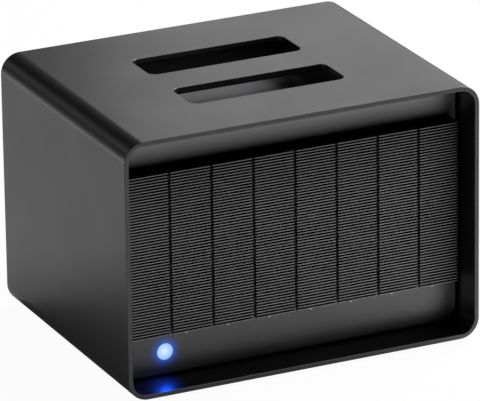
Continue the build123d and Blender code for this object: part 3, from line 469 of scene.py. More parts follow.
class ENCLOSURE_OT_sleeve(bpy.types.Operator):
    """Make the rounded aluminium sleeve with its two hand slots"""
    bl_idname = "enclosure.sleeve"
    bl_label = "Sleeve"

    def execute(self, context):
        settings = context.scene.enclosure_sleeve
        size = SHELL_HIGH - SHELL_LOW
        drift = {"patch": 40, "shade": 0.06, "spread": 0.02}
        # Aluminium, bead-blasted and dyed black: an even satin grey sheen over a fine sandy
        # grain of about 0.1 mm, drawn at 0.35 mm so that it shows.
        blasted = surface("blasted_anodised_aluminium", settings.colour, settings.roughness,
                          grain=0.35, relief=0.012, ior=1.7, **drift)
        # A painted highlight: the sheen is stronger along a line where the upper roundings start.
        tree, shader, spot = opened(blasted)
        line = SHELL_HIGH.z - settings.corner + settings.highlight_line_rise
        away = add(tree, MINUS, [spot[2], line])
        away = add(tree, OVER, [away, settings.line_width])
        square = add(tree, TIMES, [away, away])
        negative = add(tree, TIMES, [square, -1.0])
        fall = add(tree, EXPONENTIAL, [negative])
        sheen = add(tree, TIMES_PLUS, [fall, settings.line_sheen, SHEEN])
        tree.links.new(sheen.outputs[0], shader.inputs["Specular IOR Level"])
        # The inside was not blasted, so its skin is smoother; its darker colour is painted shade
        # inside the sleeve.
        smooth = surface("smooth_anodised_aluminium", settings.inner_colour,
                         settings.inner_roughness, grain=0.5, relief=0.003, ior=1.6, **drift)
        # The rims were cut after blasting, so they shine a little more.
        cut = surface("cut_anodised_aluminium", settings.colour, settings.roughness,
                      grain=0.35, relief=0.008, ior=1.8, **drift)
        piece = grow("sleeve", sleeve_tree(), settings, {
            "Width": size.x, "Height": size.z, "Depth": size.y, "Centre": CENTRE,
            "Material": blasted,
        })
        piece.data.materials.clear()
        for finish in (blasted, smooth, cut):
            piece.data.materials.append(finish)
        # Faces that look within 60 degrees of the middle get the second finish, and those at
        # both ends the third.
        cosine = 0.5
        for face in piece.data.polygons:
            inward = (CENTRE - face.center) * Vector((1, 0, 1))
            face.material_index = int(inward.dot(face.normal) > cosine * inward.length)
            if abs(face.center.y - CENTRE.y) > size.y / 2 - settings.rim_depth:
                face.material_index = 2
        soften(piece.data, angle=45)
        break_edges(piece, settings.edge_break)
        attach(piece, "enclosure")
        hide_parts("shell")
        return {"FINISHED"}


def fins_tree():
    """A stack of like fins with broken long edges."""
    tree, given = new_tree(
        "fins", ("Width", "Height", "Fin Depth", "Fin Round", "Pitch"), ("Start",), ("Fin Count",))
    outline = rounded_outline(
        tree, given["Height"], given["Fin Depth"], given["Fin Round"], count=2)
    ends = [add(tree, COMBINE, {"Z": add(tree, TIMES, [given["Width"], half])})
            for half in (-0.5, 0.5)]
    fin = add(tree, MOVE, {
        "Geometry": prism(tree, outline, *ends), "Rotation": (0, math.pi / 2, 0),
    })
    column = add(tree, "GeometryNodeMeshLine", {
        "Count": given["Fin Count"], "Start Location": given["Start"],
        "Offset": add(tree, COMBINE, {"Z": given["Pitch"]}),
    })
    stack = add(tree, COPIES, {"Points": column, "Instance": fin})
    return close_tree(tree, stack, given)


def plate(outlines, thickness, edge):
    """A mesh plate drawn in X and Y from closed outlines, holes among them, with broken edges."""
    drawing = bpy.data.curves.new("plate", "CURVE")
    drawing.dimensions = "2D"
    drawing.fill_mode = "BOTH"
    drawing.extrude = thickness / 2 - edge
    drawing.bevel_depth = edge
    drawing.bevel_resolution = 1
    drawing.offset = -edge
    for points in outlines:
        spline = drawing.splines.new("POLY")
        spline.points.add(len(points) - 1)
        for point, (x, y) in zip(spline.points, points):
            point.co = (x, y, 0, 1)
        spline.use_cyclic_u = True
    sketch = link("plate", drawing)
    made = baked(sketch)
    bpy.data.objects.remove(sketch)
    shape = bmesh.new()
    shape.from_mesh(made)
    bmesh.ops.remove_doubles(shape, verts=shape.verts, dist=WELD)
    bmesh.ops.recalc_face_normals(shape, faces=shape.faces)
    shape.to_mesh(made)
    shape.free()
    return made


def arc(x, y, radius, start, end, count):
    """Points along an arc, in degrees."""
    return [
        (x + radius * math.cos(math.radians(start + (end - start) * step / count)),
         y + radius * math.sin(math.radians(start + (end - start) * step / count)))
        for step in range(count + 1)
    ]


def box_into(shape, low, high):
    """Add a box between two corners to a bmesh."""
    centre = (Vector(low) + Vector(high)) / 2
    size = Vector(high) - Vector(low)
    bmesh.ops.create_cube(
        shape, size=1.0, matrix=Matrix.Translation(centre) @ Matrix.Diagonal((*size, 1)))


def mesh_from(shape, name, material):
    """Turn a bmesh into a mesh with its material."""
    made = bpy.data.meshes.new(name)
    bmesh.ops.recalc_face_normals(shape, faces=shape.faces)
    shape.to_mesh(made)
    shape.free()
    made.materials.append(material)
    return made


def door_frame(settings, material):
    """A door's side walls, top and upright bars, for a bay in the middle."""
    half = (DOOR_HIGH.x - DOOR_LOW.x) / 2
    front, back = DOOR_LOW.y, DOOR_HIGH.y
    bottom, top = DOOR_LOW.z, DOOR_HIGH.z
    fin_back = front + settings.fin_depth
    inset = settings.pin_inset
    shape = bmesh.new()
    outline = [(fin_back, top), (fin_back, bottom)]
    outline += arc(back - inset, bottom + inset, inset, start=-90, end=0, count=10)
    outline += [(back, top)]
    hole = arc(back - inset, bottom + inset, settings.pin_radius, start=0, end=345, count=23)
    wall = plate([outline, hole], settings.wall, edge=0.1 * MM)
    # Turns a plate drawn in X and Y so that X runs to the rear and Y up.
    upright = Matrix(((0, 0, 1, 0), (1, 0, 0, 0), (0, 1, 0, 0), (0, 0, 0, 1)))
    for x in (-half + settings.wall / 2, half - settings.wall / 2):
        side = wall.copy()
        side.transform(Matrix.Translation((x, 0, 0)) @ upright)
        shape.from_mesh(side)
    box_into(shape, (-half, fin_back, top - settings.wall), (half, back, top))
    for x in (-half / 3, half / 3):
        box_into(shape, (x - settings.wall / 2, fin_back, bottom),
                 (x + settings.wall / 2, fin_back + settings.bar_depth, top))
    made = mesh_from(shape, "door_frame", material)
    soften(made)
    return made


class ENCLOSURE_OT_doors(bpy.types.Operator):
    """Make the eight finned doors, each with its fins and its frame"""
    bl_idname = "enclosure.doors"
    bl_label = "Doors"

    def execute(self, context):
        settings = context.scene.enclosure_doors
        # ABS, moulded in a finely etched tool: a soft satin sheen along every fin.
        plastic = surface("etched_black_abs", settings.colour, settings.roughness, grain=0.3,
                          relief=0.004, patch=20, shade=0.08, spread=0.02, ior=2.55)
        # The sheen fades in the shade of the panel's edge and of the sleeve's right wall.
        tree, shader, spot = opened(plastic)
        top, right = DOOR_HIGH.z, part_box(f"door_{BAYS[-1]}")[1].x
        above = add(tree, FADE, [
            spot[2], top - settings.shade_depth, top, SHEEN, settings.sheen_high])
        beside = add(tree, FADE, [
            spot[0], right - settings.side_depth, right, 1.0, settings.sheen_side])
        sheen = add(tree, TIMES, [above, beside])
        tree.links.new(sheen.outputs[0], shader.inputs["Specular IOR Level"])
        size = DOOR_HIGH - DOOR_LOW
        stack = size.z - settings.below - settings.above
        pitch = stack / (settings.fin_count - 1 + settings.fin_share)
        fin = pitch * settings.fin_share
        tree = fins_tree()
        frame_mesh = door_frame(settings, plastic)
        for bay in BAYS:
            low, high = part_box(f"door_{bay}")
            x = (low.x + high.x) / 2
            fins = grow(f"door_fins_{bay}", tree, settings, {
                "Width": size.x - settings.short, "Height": fin, "Pitch": pitch,
                "Start": (x - settings.short / 2, low.y + settings.fin_depth / 2,
                          low.z + settings.below + fin / 2),
                "Material": plastic,
            })
            soften(fins.data, angle=50)
            rest = frame_mesh.copy()
            rest.transform(Matrix.Translation((x, 0, 0)))
            holder = link(f"door_frame_{bay}", rest)
            for piece in (fins, holder):
                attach(piece, f"door_body_{bay}")
                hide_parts(f"door_{bay}")
        return {"FINISHED"}


def from_axis(tree, x, z):
    """How far a point of the surface is from a line along Y."""
    coords = add(tree, "ShaderNodeTexCoord").outputs["Object"]
    flat = add(tree, "ShaderNodeVectorMath", [coords, (1, 0, 1)], operation="MULTIPLY")
    return add(tree, "ShaderNodeVectorMath", [flat, (x, 0, z)],
               operation="DISTANCE").outputs["Value"]


class ENCLOSURE_OT_bezel(bpy.types.Operator):
    """Finish the recessed front panel"""
    bl_idname = "enclosure.bezel"
    bl_label = "Front bezel"

    def execute(self, context):
        settings = context.scene.enclosure_bezel
        # ABS, moulded in a polished tool: a half gloss that blurs what stands before it.
        material = surface("half_gloss_black_abs", settings.colour, settings.roughness, grain=0.8,
                           relief=0.004, patch=30, shade=0.08, spread=0.03, ior=2.0)
        # A painted blue glow on the panel round the button's hole: brightest at the ring, it
        # halves with each step out.
        tree, shader, spot = opened(material)
        away = add(tree, MINUS, [from_axis(tree, BUTTON.x, BUTTON.z), settings.halo_start])
        steps = add(tree, TIMES, [away, -math.log(2) / settings.halo_half])
        fall = add(tree, EXPONENTIAL, [steps])
        glow = add(tree, TIMES, [fall, settings.halo_strength])
        shader.inputs["Emission Color"].default_value = settings.halo_colour
        tree.links.new(glow.outputs[0], shader.inputs["Emission Strength"])
        # Painted shade: the sheen fades out right above the doors, and the band above them has a
        # painted stronger sheen.
        top, side = DOOR_HIGH.z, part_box(f"door_{BAYS[-1]}")[1].x
        above = add(tree, FADE, [
            spot[2], top + settings.shade_low, top + settings.shade_high, 0.0,
            settings.sheen_high])
        beside = add(tree, FADE, [
            add(tree, ABSOLUTE, [spot[0]]), side - settings.side_start,
            side + settings.side_end, 0.0, SHEEN])
        low = add(tree, BELOW, [spot[2], top - settings.below_top])
        below = add(tree, TIMES, [low, SHEEN])
        outside = add(tree, LARGER, [below, beside])
        sheen = add(tree, LARGER, [outside, above])
        tree.links.new(sheen.outputs[0], shader.inputs["Specular IOR Level"])
        dress(["front_bezel"], material)
        return {"FINISHED"}


def lit_button(settings):
    """The button's face: brightest in the middle, bluer towards the edge."""
    # Polycarbonate, moulded and frosted, with a blue lamp behind: a soft even glow.
    material, tree = new_material("frosted_lit_polycarbonate")
    bright = BUTTON + Vector(settings.bright_spot)
    fade = add(tree, FADE, [
        from_axis(tree, bright.x, bright.z), settings.bright_radius, settings.edge_radius])
    tone = add(tree, "ShaderNodeMix", {
        0: fade, 6: tuple(settings.button_colour), 7: tuple(settings.button_edge),
    }, data_type="RGBA")
    shader = add(tree, "ShaderNodeBsdfPrincipled", {
        "Base Color": (0.0, 0.0, 0.0, 1.0), "Roughness": 0.35, "Emission Color": tone.outputs[2],
        "Emission Strength": settings.button_strength,
    })
    add(tree, "ShaderNodeOutputMaterial", [shader])
    return material


class ENCLOSURE_OT_lamps(bpy.types.Operator):
    """Light the bay lights, the power button and its ring"""
    bl_idname = "enclosure.lamps"
    bl_label = "Lights"

    def execute(self, context):
        settings = context.scene.enclosure_lamps
        # Acrylic light guides and ring: clear, and lit from behind but for the first bay's.
        dress(["bay_leds_on"], glowing(
            "clear_lit_acrylic", settings.bay_colour, settings.bay_strength))
        dress(["bay_led_off"], surface(
            "clear_dark_acrylic", "#1a1a1c", 0.25, grain=0.4, relief=0.002))
        dress(["power_button"], lit_button(settings))
        dress(["power_button_ring"], glowing(
            "blue_lit_acrylic", settings.ring_colour, settings.ring_strength))
        lamp("button_glow", "SPOT", (BUTTON.x, BUTTON_FRONT - settings.glow_out, BUTTON.z),
             settings.glow_target, spot_size=settings.glow_cone, spot_blend=1.0,
             energy=settings.glow_power, shadow_soft_size=settings.glow_radius,
             color=settings.glow_colour[:3])
        return {"FINISHED"}


def lamp(name, kind, where, target, **settings):
    """A lamp that stands somewhere and points at something, unseen by the camera."""
    light = bpy.data.lights.new(name, kind)
    for key, value in settings.items():
        setattr(light, key, value)
    holder = link(name, light)
    holder.location = where
    holder.rotation_euler = (Vector(where) - Vector(target)).to_track_quat("Z", "Y").to_euler()
    holder.visible_camera = False


def screws_tree():
    """Domed screw heads at points of a grid, facing +X."""
    tree, given = new_tree("cover_screws", ("Screw Radius", "Width", "Height"), ("Centre",))
    ball = add(tree, "GeometryNodeMeshUVSphere", {
        "Segments": 16, "Rings": 10, "Radius": given["Screw Radius"],
    })
    flattened = (0.2, 1, 1)
    head = add(tree, MOVE, {"Geometry": ball, "Scale": flattened})
    points = add(tree, "GeometryNodeMeshGrid", {
        "Size X": given["Width"], "Size Y": given["Height"], "Vertices X": 3, "Vertices Y": 2,
    })
    # The grid is drawn in X and Y, and stands in Y and Z.
    placed = add(tree, MOVE, {
        "Geometry": points, "Translation": given["Centre"],
        "Rotation": (math.pi / 2, 0, math.pi / 2),
    })
    heads = add(tree, COPIES, {"Points": placed, "Instance": head})
    return close_tree(tree, heads, given)


def board_mesh(x, low, high, thickness, mask, epoxy):
    """A drive's circuit board with its chips, facing -X."""
    shape = bmesh.new()
    box_into(shape, (x, low.y, low.z), (x + thickness, high.y, high.z))
    wide, tall = high.y - low.y, high.z - low.z
    # Place across and up as shares of the board, then width and height in millimetres.
    chips = ((0.30, 0.42, 14, 14), (0.55, 0.60, 11, 11), (0.18, 0.74, 12, 8), (0.76, 0.35, 9, 6),
             (0.72, 0.70, 6, 6), (0.42, 0.20, 7, 4), (0.88, 0.82, 5, 8))
    chip_rise = 0.8 * thickness
    for across, up, width, height in chips:
        y, z = low.y + wide * across, low.z + tall * up
        box_into(shape, (x - chip_rise, y - width * MM / 2, z - height * MM / 2),
                 (x, y + width * MM / 2, z + height * MM / 2))
    made = mesh_from(shape, "drive_board", mask)
    made.materials.append(epoxy)
    # What stands before the board's face by more than a hair is a chip.
    hair = 1e-7
    for face in made.polygons:
        face.material_index = int(face.center.x < x - hair)
    return made


class ENCLOSURE_OT_drives(bpy.types.Operator):
    """Add the circuit board, cover screws and blank label to each drive"""
    bl_idname = "enclosure.drives"
    bl_label = "Drives"

    def execute(self, context):
        settings = context.scene.enclosure_drives
        # Glass fibre board under green solder mask: a glossy film over a fine weave.
        mask = surface("drive_solder_mask", "#0f4a2c", 0.25, grain=0.6, relief=0.006, patch=6,
                       shade=0.2)
        # Epoxy, moulded round the chips: dull black.
        epoxy = surface("drive_chip_epoxy", "#1b1b1d", 0.4, grain=0.3, relief=0.01)
        # Stainless screws, turned: bright with a fine circular grain.
        steel = surface("turned_stainless_steel", "#b9babc", 0.25, grain=0.3, relief=0.004,
                        metallic=1.0)
        # Coated paper: off-white with a faint fibre.
        paper = surface("coated_paper", settings.label_colour, 0.45, grain=0.7, relief=0.006,
                        shade=0.03)
        tree = screws_tree()
        for bay in BAYS:
            low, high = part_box(f"drive_{bay}")
            inner = Vector((0, settings.board_front, settings.board_side))
            outer = Vector((0, settings.board_rear, settings.board_side))
            seat = low.x + settings.recess - settings.board
            board = link(f"drive_board_{bay}", board_mesh(
                seat, low + inner, high - outer, settings.board, mask, epoxy))
            inset = settings.screw_inset
            screws = grow(f"drive_screws_{bay}", tree, settings, {
                "Width": high.y - low.y - 3 * inset, "Height": high.z - low.z - 2 * inset,
                "Centre": (high.x, (low.y + high.y) / 2 - inset / 2, (low.z + high.z) / 2),
                "Material": steel,
            })
            soften(screws.data)
            shape = bmesh.new()
            box_into(shape, Vector((high.x - settings.label_sink, low.y + settings.label_front,
                                    low.z + settings.label_side)),
                     Vector((high.x + settings.label_rise, high.y - settings.label_rear,
                             high.z - settings.label_side)))
            label = link(f"drive_label_{bay}", mesh_from(shape, "label", paper))
            for piece in (board, screws, label):
                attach(piece, f"tray_body_{bay}")
        return {"FINISHED"}


def rotor_tree():
    """A fan's hub, and its blades, each bent from a grid round the axle."""
    tree, given = new_tree("rotor", (
        "Hub Radius", "Tip Radius", "Blade Arc", "Blade Sweep", "Blade Depth", "Blade Thickness",
        "Length",
    ), ("Centre",), ("Blade Count",))
    hub, count = given["Hub Radius"], given["Blade Count"]
    # The grid runs along the blade in X and across it in Y, from -0.5 to 0.5.
    grid = add(tree, "GeometryNodeMeshGrid", {
        "Size X": 1.0, "Size Y": 1.0, "Vertices X": 9, "Vertices Y": 13,
    })
    spot = add(tree, "ShaderNodeSeparateXYZ", [add(tree, "GeometryNodeInputPosition")]).outputs
    along, across = add(tree, PLUS, [spot[0], 0.5]), spot[1]
    # A blade starts inside the hub, at a share of its radius, and gets a fifth narrower, more
    # swept back, and cambered by an eighth of its depth.
    root_share, taper, camber = 0.94, -0.2, 0.125
    root = add(tree, TIMES, [hub, root_share])
    reach = add(tree, MINUS, [given["Tip Radius"], root])
    radius = add(tree, TIMES_PLUS, [along, reach, root])
    narrowing = add(tree, TIMES_PLUS, [along, taper, 1.0])
    square = add(tree, TIMES, [along, along])
    swept = add(tree, TIMES, [square, given["Blade Sweep"]])
    turned = add(tree, TIMES, [across, narrowing])
    angle = add(tree, TIMES_PLUS, [turned, given["Blade Arc"], swept])
    square = add(tree, TIMES, [across, across])
    bow = add(tree, TIMES_PLUS, [square, -4 * camber, camber])
    rise = add(tree, PLUS, [across, bow])
    flat = [add(tree, TIMES, [radius, add(tree, wave, [angle])]) for wave in (COSINE, SINE)]
    height = add(tree, TIMES, [rise, given["Blade Depth"]])
    bent = add(tree, "GeometryNodeSetPosition", {
        "Geometry": grid, "Position": add(tree, COMBINE, [*flat, height]),
    })
    front = add(tree, "GeometryNodeExtrudeMesh", {
        "Mesh": bent, "Offset Scale": given["Blade Thickness"], "Individual": False,
    })
    back = add(tree, "GeometryNodeFlipFaces", {"Mesh": bent})
    closed = add(tree, "GeometryNodeMergeByDistance", {
        "Geometry": add(tree, JOIN, {"Geometry": [front, back]}), "Distance": WELD,
    })
    step = add(tree, OVER, [math.tau, count])
    turn = add(tree, TIMES, [add(tree, "GeometryNodeInputIndex"), step])
    blades = add(tree, COPIES, {
        "Points": add(tree, "GeometryNodePoints", {"Count": count}),
        "Instance": closed, "Rotation": add(tree, COMBINE, {"Z": turn}),
    })
    # The hub's section is swept round so that it leaves a bore of a tenth for the axle.
    bore = 0.1
    wall = add(tree, TIMES, [hub, 1 - bore])
    section = rounded_outline(tree, wall, given["Length"], radius=1.5 * MM, count=4)
    path = add(tree, CIRCLE, {"Resolution": 64, "Radius": add(tree, TIMES, [hub, (1 + bore) / 2])})
    core = add(tree, SWEEP, {"Curve": path, "Profile Curve": section})
    placed = add(tree, MOVE, {
        "Geometry": add(tree, JOIN, {"Geometry": [blades, core]}),
        "Translation": given["Centre"], "Rotation": UPRIGHT,
    })
    return close_tree(tree, placed, given)


def guards_tree():
    """Two wire guards, each of rings, spokes and loops round the screws."""
    tree, given = new_tree(
        "guards", ("Wire", "First Ring", "Ring Step", "Screw Offset", "Eye"),
        ("Left", "Across"), ("Ring Count",))
    number = add(tree, "GeometryNodeInputIndex")
    radius = add(tree, TIMES_PLUS, [number, given["Ring Step"], given["First Ring"]])
    rings = add(tree, COPIES, {
        "Points": add(tree, "GeometryNodePoints", {"Count": given["Ring Count"]}),
        "Instance": add(tree, CIRCLE, {"Resolution": 72, "Radius": 1.0}),
        "Scale": add(tree, COMBINE, [radius, radius, 1.0]),
    })
    # One arm for each of the four screws: a spoke and the loop at its end.
    diagonal = add(tree, TIMES, [given["Screw Offset"], math.sqrt(2)])
    tip = add(tree, MINUS, [diagonal, given["Eye"]])
    spoke = add(tree, "GeometryNodeCurvePrimitiveLine", {
        "Start": add(tree, COMBINE, [given["First Ring"]]), "End": add(tree, COMBINE, [tip]),
    })
    loop = add(tree, MOVE, {
        "Geometry": add(tree, CIRCLE, {"Resolution": 24, "Radius": given["Eye"]}),
        "Translation": add(tree, COMBINE, [diagonal]),
    })
    turn = add(tree, TIMES_PLUS, [number, math.pi / 2, math.pi / 4])
    arms = add(tree, COPIES, {
        "Points": add(tree, "GeometryNodePoints", {"Count": 4}),
        "Instance": add(tree, JOIN, {"Geometry": [spoke, loop]}),
        "Rotation": add(tree, COMBINE, {"Z": turn}),
    })
    # The arms lie under the rings, pressed a little into them where they are welded.
    pressed = 0.7
    drop = add(tree, TIMES, [given["Wire"], pressed])
    under = add(tree, MOVE, {"Geometry": arms, "Translation": add(tree, COMBINE, {"Z": drop})})
    upright = add(tree, MOVE, {
        "Geometry": add(tree, JOIN, {"Geometry": [rings, under]}), "Rotation": UPRIGHT,
    })
    pair = add(tree, "GeometryNodeMeshLine", {
        "Count": 2, "Start Location": given["Left"], "Offset": given["Across"],
    })
    both = add(tree, COPIES, {"Points": pair, "Instance": upright})
    wire = add(tree, CIRCLE, {"Resolution": 10, "Radius": add(tree, TIMES, [given["Wire"], 0.5])})
    round_wire = add(tree, SWEEP, {
        "Curve": add(tree, "GeometryNodeRealizeInstances", [both]), "Profile Curve": wire,
        "Fill Caps": True,
    })
    return close_tree(tree, round_wire, given)


class ENCLOSURE_OT_fans(bpy.types.Operator):
    """Make the curved fan rotors and their round wire guards"""
    bl_idname = "enclosure.fans"
    bl_label = "Fans"

    def execute(self, context):
        settings = context.scene.enclosure_fans
        # PBT plastic, moulded: plain satin black.
        plastic = surface("moulded_black_pbt", "#1f1f21", 0.38, grain=0.4, relief=0.008)
        dress(["fan_frame_left", "fan_frame_right"], plastic)
        tree = rotor_tree()
        for side in ("left", "right"):
            low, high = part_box(f"fan_rotor_{side}")
            centre = (low + high) / 2
            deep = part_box(f"fan_frame_{side}")[1].y - low.y - settings.grille_gap
            rotor = grow(f"rotor_{side}", tree, settings, {
                "Length": deep, "Centre": (centre.x, low.y + deep / 2, centre.z),
                "Material": plastic,
            })
            soften(rotor.data)
            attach(rotor, f"fan_rotor_{side}")
            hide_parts(f"fan_rotor_{side}")
        # Steel wire under black powder coat: soft glints along round wire.
        coat = surface("powder_coated_wire", "#1a1a1b", 0.35, grain=0.5, relief=0.01)
        low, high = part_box("fan_guards")
        left = Vector((FAN_LEFT.x, high.y - settings.wire / 2, FAN_LEFT.z))
        step = (settings.last_ring - settings.first_ring) / (settings.ring_count - 1)
        guards = grow("guards", guards_tree(), settings, {
            "Ring Step": step, "Left": left, "Across": (FAN_RIGHT.x - FAN_LEFT.x, 0, 0),
            "Material": coat,
        })
        soften(guards.data, angle=60)
        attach(guards, "enclosure")
        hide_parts("fan_guards")
        return {"FINISHED"}


# Plain finishes: name, tone, roughness, grain, relief and what else differs, for which nodes.
INSIDE = (
    # Nylon, moulded: dull black.
    ("moulded_black_nylon", "#101011", 0.5, 0.5, 0.02, {}, ["hand_bridge"]),
    # Nylon with glass fibre, moulded: dull black with a faint cloudy bloom.
    ("glass_filled_black_nylon", "#2a2a2c", 0.5, 0.5, 0.02, {"shade": 0.15},
     [f"tray_{bay}" for bay in BAYS]),
    # Aluminium, die cast: pale grey with a soft, slightly orange-peeled skin.
    ("die_cast_aluminium", "#b4b6b8", 0.35, 0.9, 0.02, {"shade": 0.08, "metallic": 1.0},
     [f"drive_{bay}" for bay in BAYS]),
    # Steel sheet, zinc plated: bluish grey with cloudy crystals.
    ("zinc_plated_steel", "#a9adb3", 0.38, 2.0, 0.004,
     {"patch": 8, "shade": 0.16, "metallic": 1.0},
     ["cage_floor", "cage_roof", "cage_side_left", "cage_side_right", "rear_brackets"]),
    # Glass fibre board under green solder mask: a glossy film over a fine weave.
    ("green_solder_mask", "#125a35", 0.25, 0.6, 0.006, {"patch": 6, "shade": 0.2},
     ["front_board", "main_board", "backplane"]),
    # Epoxy and filled plastic, moulded: dull black.
    ("moulded_black_epoxy", "#1b1b1d", 0.4, 0.3, 0.01, {},
     ["sata_sockets", "main_chips", "power_jack", "rear_switches"]),
    # Aluminium cans, drawn: bright, with a very fine grain.
    ("drawn_aluminium_can", "#c3c5c8", 0.25, 0.5, 0.002, {"metallic": 1.0}, ["capacitors"]),
    # Aluminium, extruded: plain grey.
    ("extruded_aluminium", "#9b9ea3", 0.4, 0.5, 0.01, {"metallic": 1.0}, ["heatsink"]),
    # Brass, turned: yellow and half bright.
    ("turned_brass", "#c9a458", 0.3, 0.4, 0.006, {"metallic": 1.0}, ["board_standoffs"]),
)
REAR = (
    # Steel sheet under black powder coat: matt with a fine pebbled skin.
    ("black_powder_coat", "#232324", 0.5, 0.5, 0.03, {}, ["rear_panel", "chassis_base"]),
    # Steel screws under black oxide: dark, with a metal's gleam.
    ("black_oxide_steel", "#2b2b2d", 0.35, 0.3, 0.006, {"metallic": 0.8},
     ["small_screws", "fan_screws"]),
    # Steel shells of the ports, nickel plated: bright.
    ("nickel_plated_steel", "#c4c4c6", 0.22, 0.3, 0.002, {"metallic": 1.0}, ["usb_ports"]),
    # Acetal, moulded: mid grey and waxy.
    ("grey_acetal", "#7c7f84", 0.4, 0.3, 0.006, {}, ["mode_dial", "set_button"]),
    # Rubber, moulded: matt black.
    ("moulded_black_rubber", "#161617", 0.7, 0.4, 0.03, {}, ["feet"]),
)


def dress_rows(rows):
    """Give CAD nodes the plain finishes of a table."""
    for name, tone, roughness, grain, relief, more, nodes in rows:
        dress(nodes, surface(name, tone, roughness, grain, relief, **more))


class ENCLOSURE_OT_inside(bpy.types.Operator):
    """Finish the trays, drives, cage, boards and the hand tub"""
    bl_idname = "enclosure.inside"
    bl_label = "Inside"

    def execute(self, context):
        # Nylon, moulded: black, with the floor painted lighter grey: painted light where light
        # falls on it through the slots.
        material = surface("moulded_black_nylon_tub", "#0c0c0d", 0.5, grain=0.5, relief=0.02)
        tree, shader, spot = opened(material)
        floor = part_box("handle_tub")[0].z
        grey_below, black_above = floor + 3 * MM, floor + 5 * MM
        # Painted light on the floor, fading out up the walls.
        painted_lit_floor = add(tree, FADE, [spot[2], grey_below, black_above, 1.0, 0.0],
                     interpolation_type="SMOOTHSTEP")
        black = shader.inputs["Base Color"].links[0].from_socket
        mixed = add(tree, "ShaderNodeMix", {0: painted_lit_floor, 6: black, 7: linear("#646466")},
                    data_type="RGBA")
        tree.links.new(mixed.outputs[2], shader.inputs["Base Color"])
        dress(["handle_tub"], material)
        dress_rows(INSIDE)
        return {"FINISHED"}


class ENCLOSURE_OT_rear(bpy.types.Operator):
    """Finish the rear panel, ports, controls, screws and feet"""
    bl_idname = "enclosure.rear"
    bl_label = "Rear"

    def execute(self, context):
        dress_rows(REAR)
        return {"FINISHED"}


def floor_finish(settings):
    """White floor: lit by the lamps, and lifted to white where the camera or a gloss sees it."""
    material, tree = new_material("white_floor")
    path = add(tree, "ShaderNodeLightPath").outputs
    seen = add(tree, TIMES, [path["Is Camera Ray"], settings.white_seen])
    glossed = add(tree, TIMES, [path["Is Glossy Ray"], settings.white_glossed])
    lift = add(tree, LARGER, [seen, glossed])
    lift = add(tree, LARGER, [lift, path["Is Transmission Ray"]])
    diffuse = add(tree, "ShaderNodeBsdfDiffuse", {"Color": tuple(settings.floor_colour)})
    white = add(tree, "ShaderNodeEmission", {"Color": WHITE, "Strength": 1.0})
    mixed = add(tree, "ShaderNodeMixShader", [lift, diffuse, white])
    add(tree, "ShaderNodeOutputMaterial", [mixed])
    return material


def towards(azimuth, elevation):
    """The direction at an azimuth from the front, to the right, and at a height, in degrees."""
    turn, rise = math.radians(azimuth), math.radians(elevation)
    flat = math.cos(rise)
    return Vector((math.sin(turn) * flat, -math.cos(turn) * flat, math.sin(rise)))


def surroundings(settings):
    """Soft walls of light round the object, and white where the camera sees them."""
    world = bpy.data.worlds.new("surroundings")
    world.use_nodes = True
    tree = world.node_tree
    tree.nodes.clear()
    facing = add(tree, "ShaderNodeTexCoord").outputs["Generated"]
    glow = 0.0
    # Each wall of light falls off round a direction, the faster the tighter it is.
    walls = ((-90, 15, 14, settings.left_glow), (160, 15, 40, settings.back_glow),
             (206, 18, 120, settings.corner_glow))
    for azimuth, elevation, tightness, strength in walls:
        near = add(tree, "ShaderNodeVectorMath", [facing, towards(azimuth, elevation)],
                   operation="DOT_PRODUCT").outputs["Value"]
        off = add(tree, TIMES_PLUS, [near, tightness, -tightness])
        fall = add(tree, EXPONENTIAL, [off])
        glow = add(tree, TIMES_PLUS, [fall, strength, glow])
    path = add(tree, "ShaderNodeLightPath").outputs
    seen = add(tree, LARGER, [path["Is Camera Ray"], path["Is Transmission Ray"]])
    lit = add(tree, "ShaderNodeBackground", {"Color": WHITE, "Strength": glow})
    white = add(tree, "ShaderNodeBackground", {"Color": WHITE, "Strength": 1.0})
    add(tree, "ShaderNodeOutputWorld", {
        "Surface": add(tree, "ShaderNodeMixShader", [seen, lit, white]),
    })
    return world


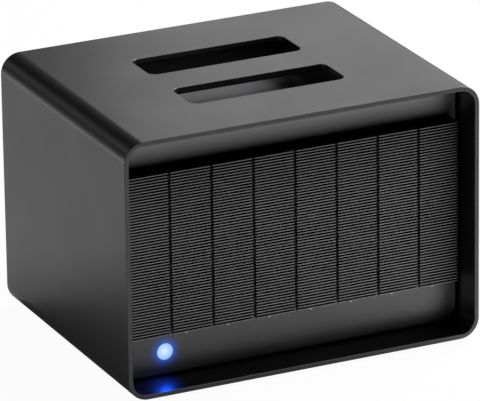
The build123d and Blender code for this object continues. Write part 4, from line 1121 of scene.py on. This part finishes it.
class ENCLOSURE_OT_stage(bpy.types.Operator):
    """Set up the floor, the soft light and the camera"""
    bl_idname = "enclosure.stage"
    bl_label = "Stage"

    def execute(self, context):
        settings = context.scene.enclosure_stage
        scene = context.scene
        scene.view_settings.view_transform = "Standard"

        camera = bpy.data.cameras.new("camera")
        camera.lens = settings.lens
        camera.sensor_width = 36.0
        camera.clip_end = 200.0
        holder = link("camera", camera)
        back = (Vector(settings.camera) - Vector(settings.target)).normalized()
        right = (-back).cross(Vector((0, 0, 1))).normalized()
        up = right.cross(-back)
        rolled_right = right * math.cos(settings.roll) + up * math.sin(settings.roll)
        rolled_up = up * math.cos(settings.roll) - right * math.sin(settings.roll)
        holder.matrix_world = Matrix.Translation(settings.camera) @ Matrix(
            (rolled_right, rolled_up, back)).transposed().to_4x4()
        scene.camera = holder

        shape = bmesh.new()
        bmesh.ops.create_grid(shape, x_segments=2, y_segments=2, size=settings.floor_size)
        floor = link("floor", mesh_from(shape, "floor", floor_finish(settings)))

        scene.world = surroundings(settings)
        lamp("high_light", "SUN", towards(azimuth=54, elevation=57), (0, 0, 0),
             energy=settings.high_light, angle=settings.high_spread)
        lamp("key_light", "AREA", settings.key_place, CENTRE, shape="RECTANGLE",
             size=settings.key_size, size_y=settings.key_size, energy=settings.key_power)
        straight_down = Vector(settings.floor_place) - Vector((0, 0, 1))
        lamp("floor_light", "SPOT", settings.floor_place, straight_down,
             spot_size=settings.floor_cone, spot_blend=1.0, energy=settings.floor_power,
             shadow_soft_size=settings.floor_radius)
        to_the_front = Vector(settings.panel_place) - Vector((0, 1, 0))
        lamp("panel_light", "AREA", settings.panel_place, to_the_front, shape="RECTANGLE",
             size=settings.panel_width, size_y=settings.panel_height,
             energy=settings.panel_power)
        return {"FINISHED"}


OPERATORS = (
    ENCLOSURE_OT_stage, ENCLOSURE_OT_sleeve, ENCLOSURE_OT_doors, ENCLOSURE_OT_bezel,
    ENCLOSURE_OT_lamps, ENCLOSURE_OT_drives, ENCLOSURE_OT_inside, ENCLOSURE_OT_fans,
    ENCLOSURE_OT_rear,
)
GROUPS = {
    "enclosure_sleeve": SleeveSettings, "enclosure_doors": DoorSettings,
    "enclosure_bezel": BezelSettings, "enclosure_fans": FanSettings,
    "enclosure_drives": DriveSettings, "enclosure_lamps": LampSettings,
    "enclosure_stage": StageSettings,
}


class ENCLOSURE_PT_panel(bpy.types.Panel):
    """Lists the steps and their settings"""
    bl_idname = "ENCLOSURE_PT_panel"
    bl_label = "Drive enclosure"
    bl_space_type = "VIEW_3D"
    bl_region_type = "UI"
    bl_category = "Enclosure"

    def draw(self, context):
        for operator in OPERATORS:
            self.layout.operator(operator.bl_idname)
        for attribute, group in GROUPS.items():
            column = self.layout.column()
            for name in group.__annotations__:
                column.prop(getattr(context.scene, attribute), name)


def register():
    for group in GROUPS.values():
        bpy.utils.register_class(group)
    for operator in OPERATORS:
        bpy.utils.register_class(operator)
    bpy.utils.register_class(ENCLOSURE_PT_panel)
    for attribute, group in GROUPS.items():
        setattr(bpy.types.Scene, attribute, PointerProperty(type=group))


def unregister():
    for attribute in GROUPS:
        delattr(bpy.types.Scene, attribute)
    bpy.utils.unregister_class(ENCLOSURE_PT_panel)
    for operator in reversed(OPERATORS):
        bpy.utils.unregister_class(operator)
    for group in reversed(list(GROUPS.values())):
        bpy.utils.unregister_class(group)


def main():
    register()
    for operator in OPERATORS:
        group, name = operator.bl_idname.split(".")
        getattr(getattr(bpy.ops, group), name)()


if __name__ == "__main__":
    main()
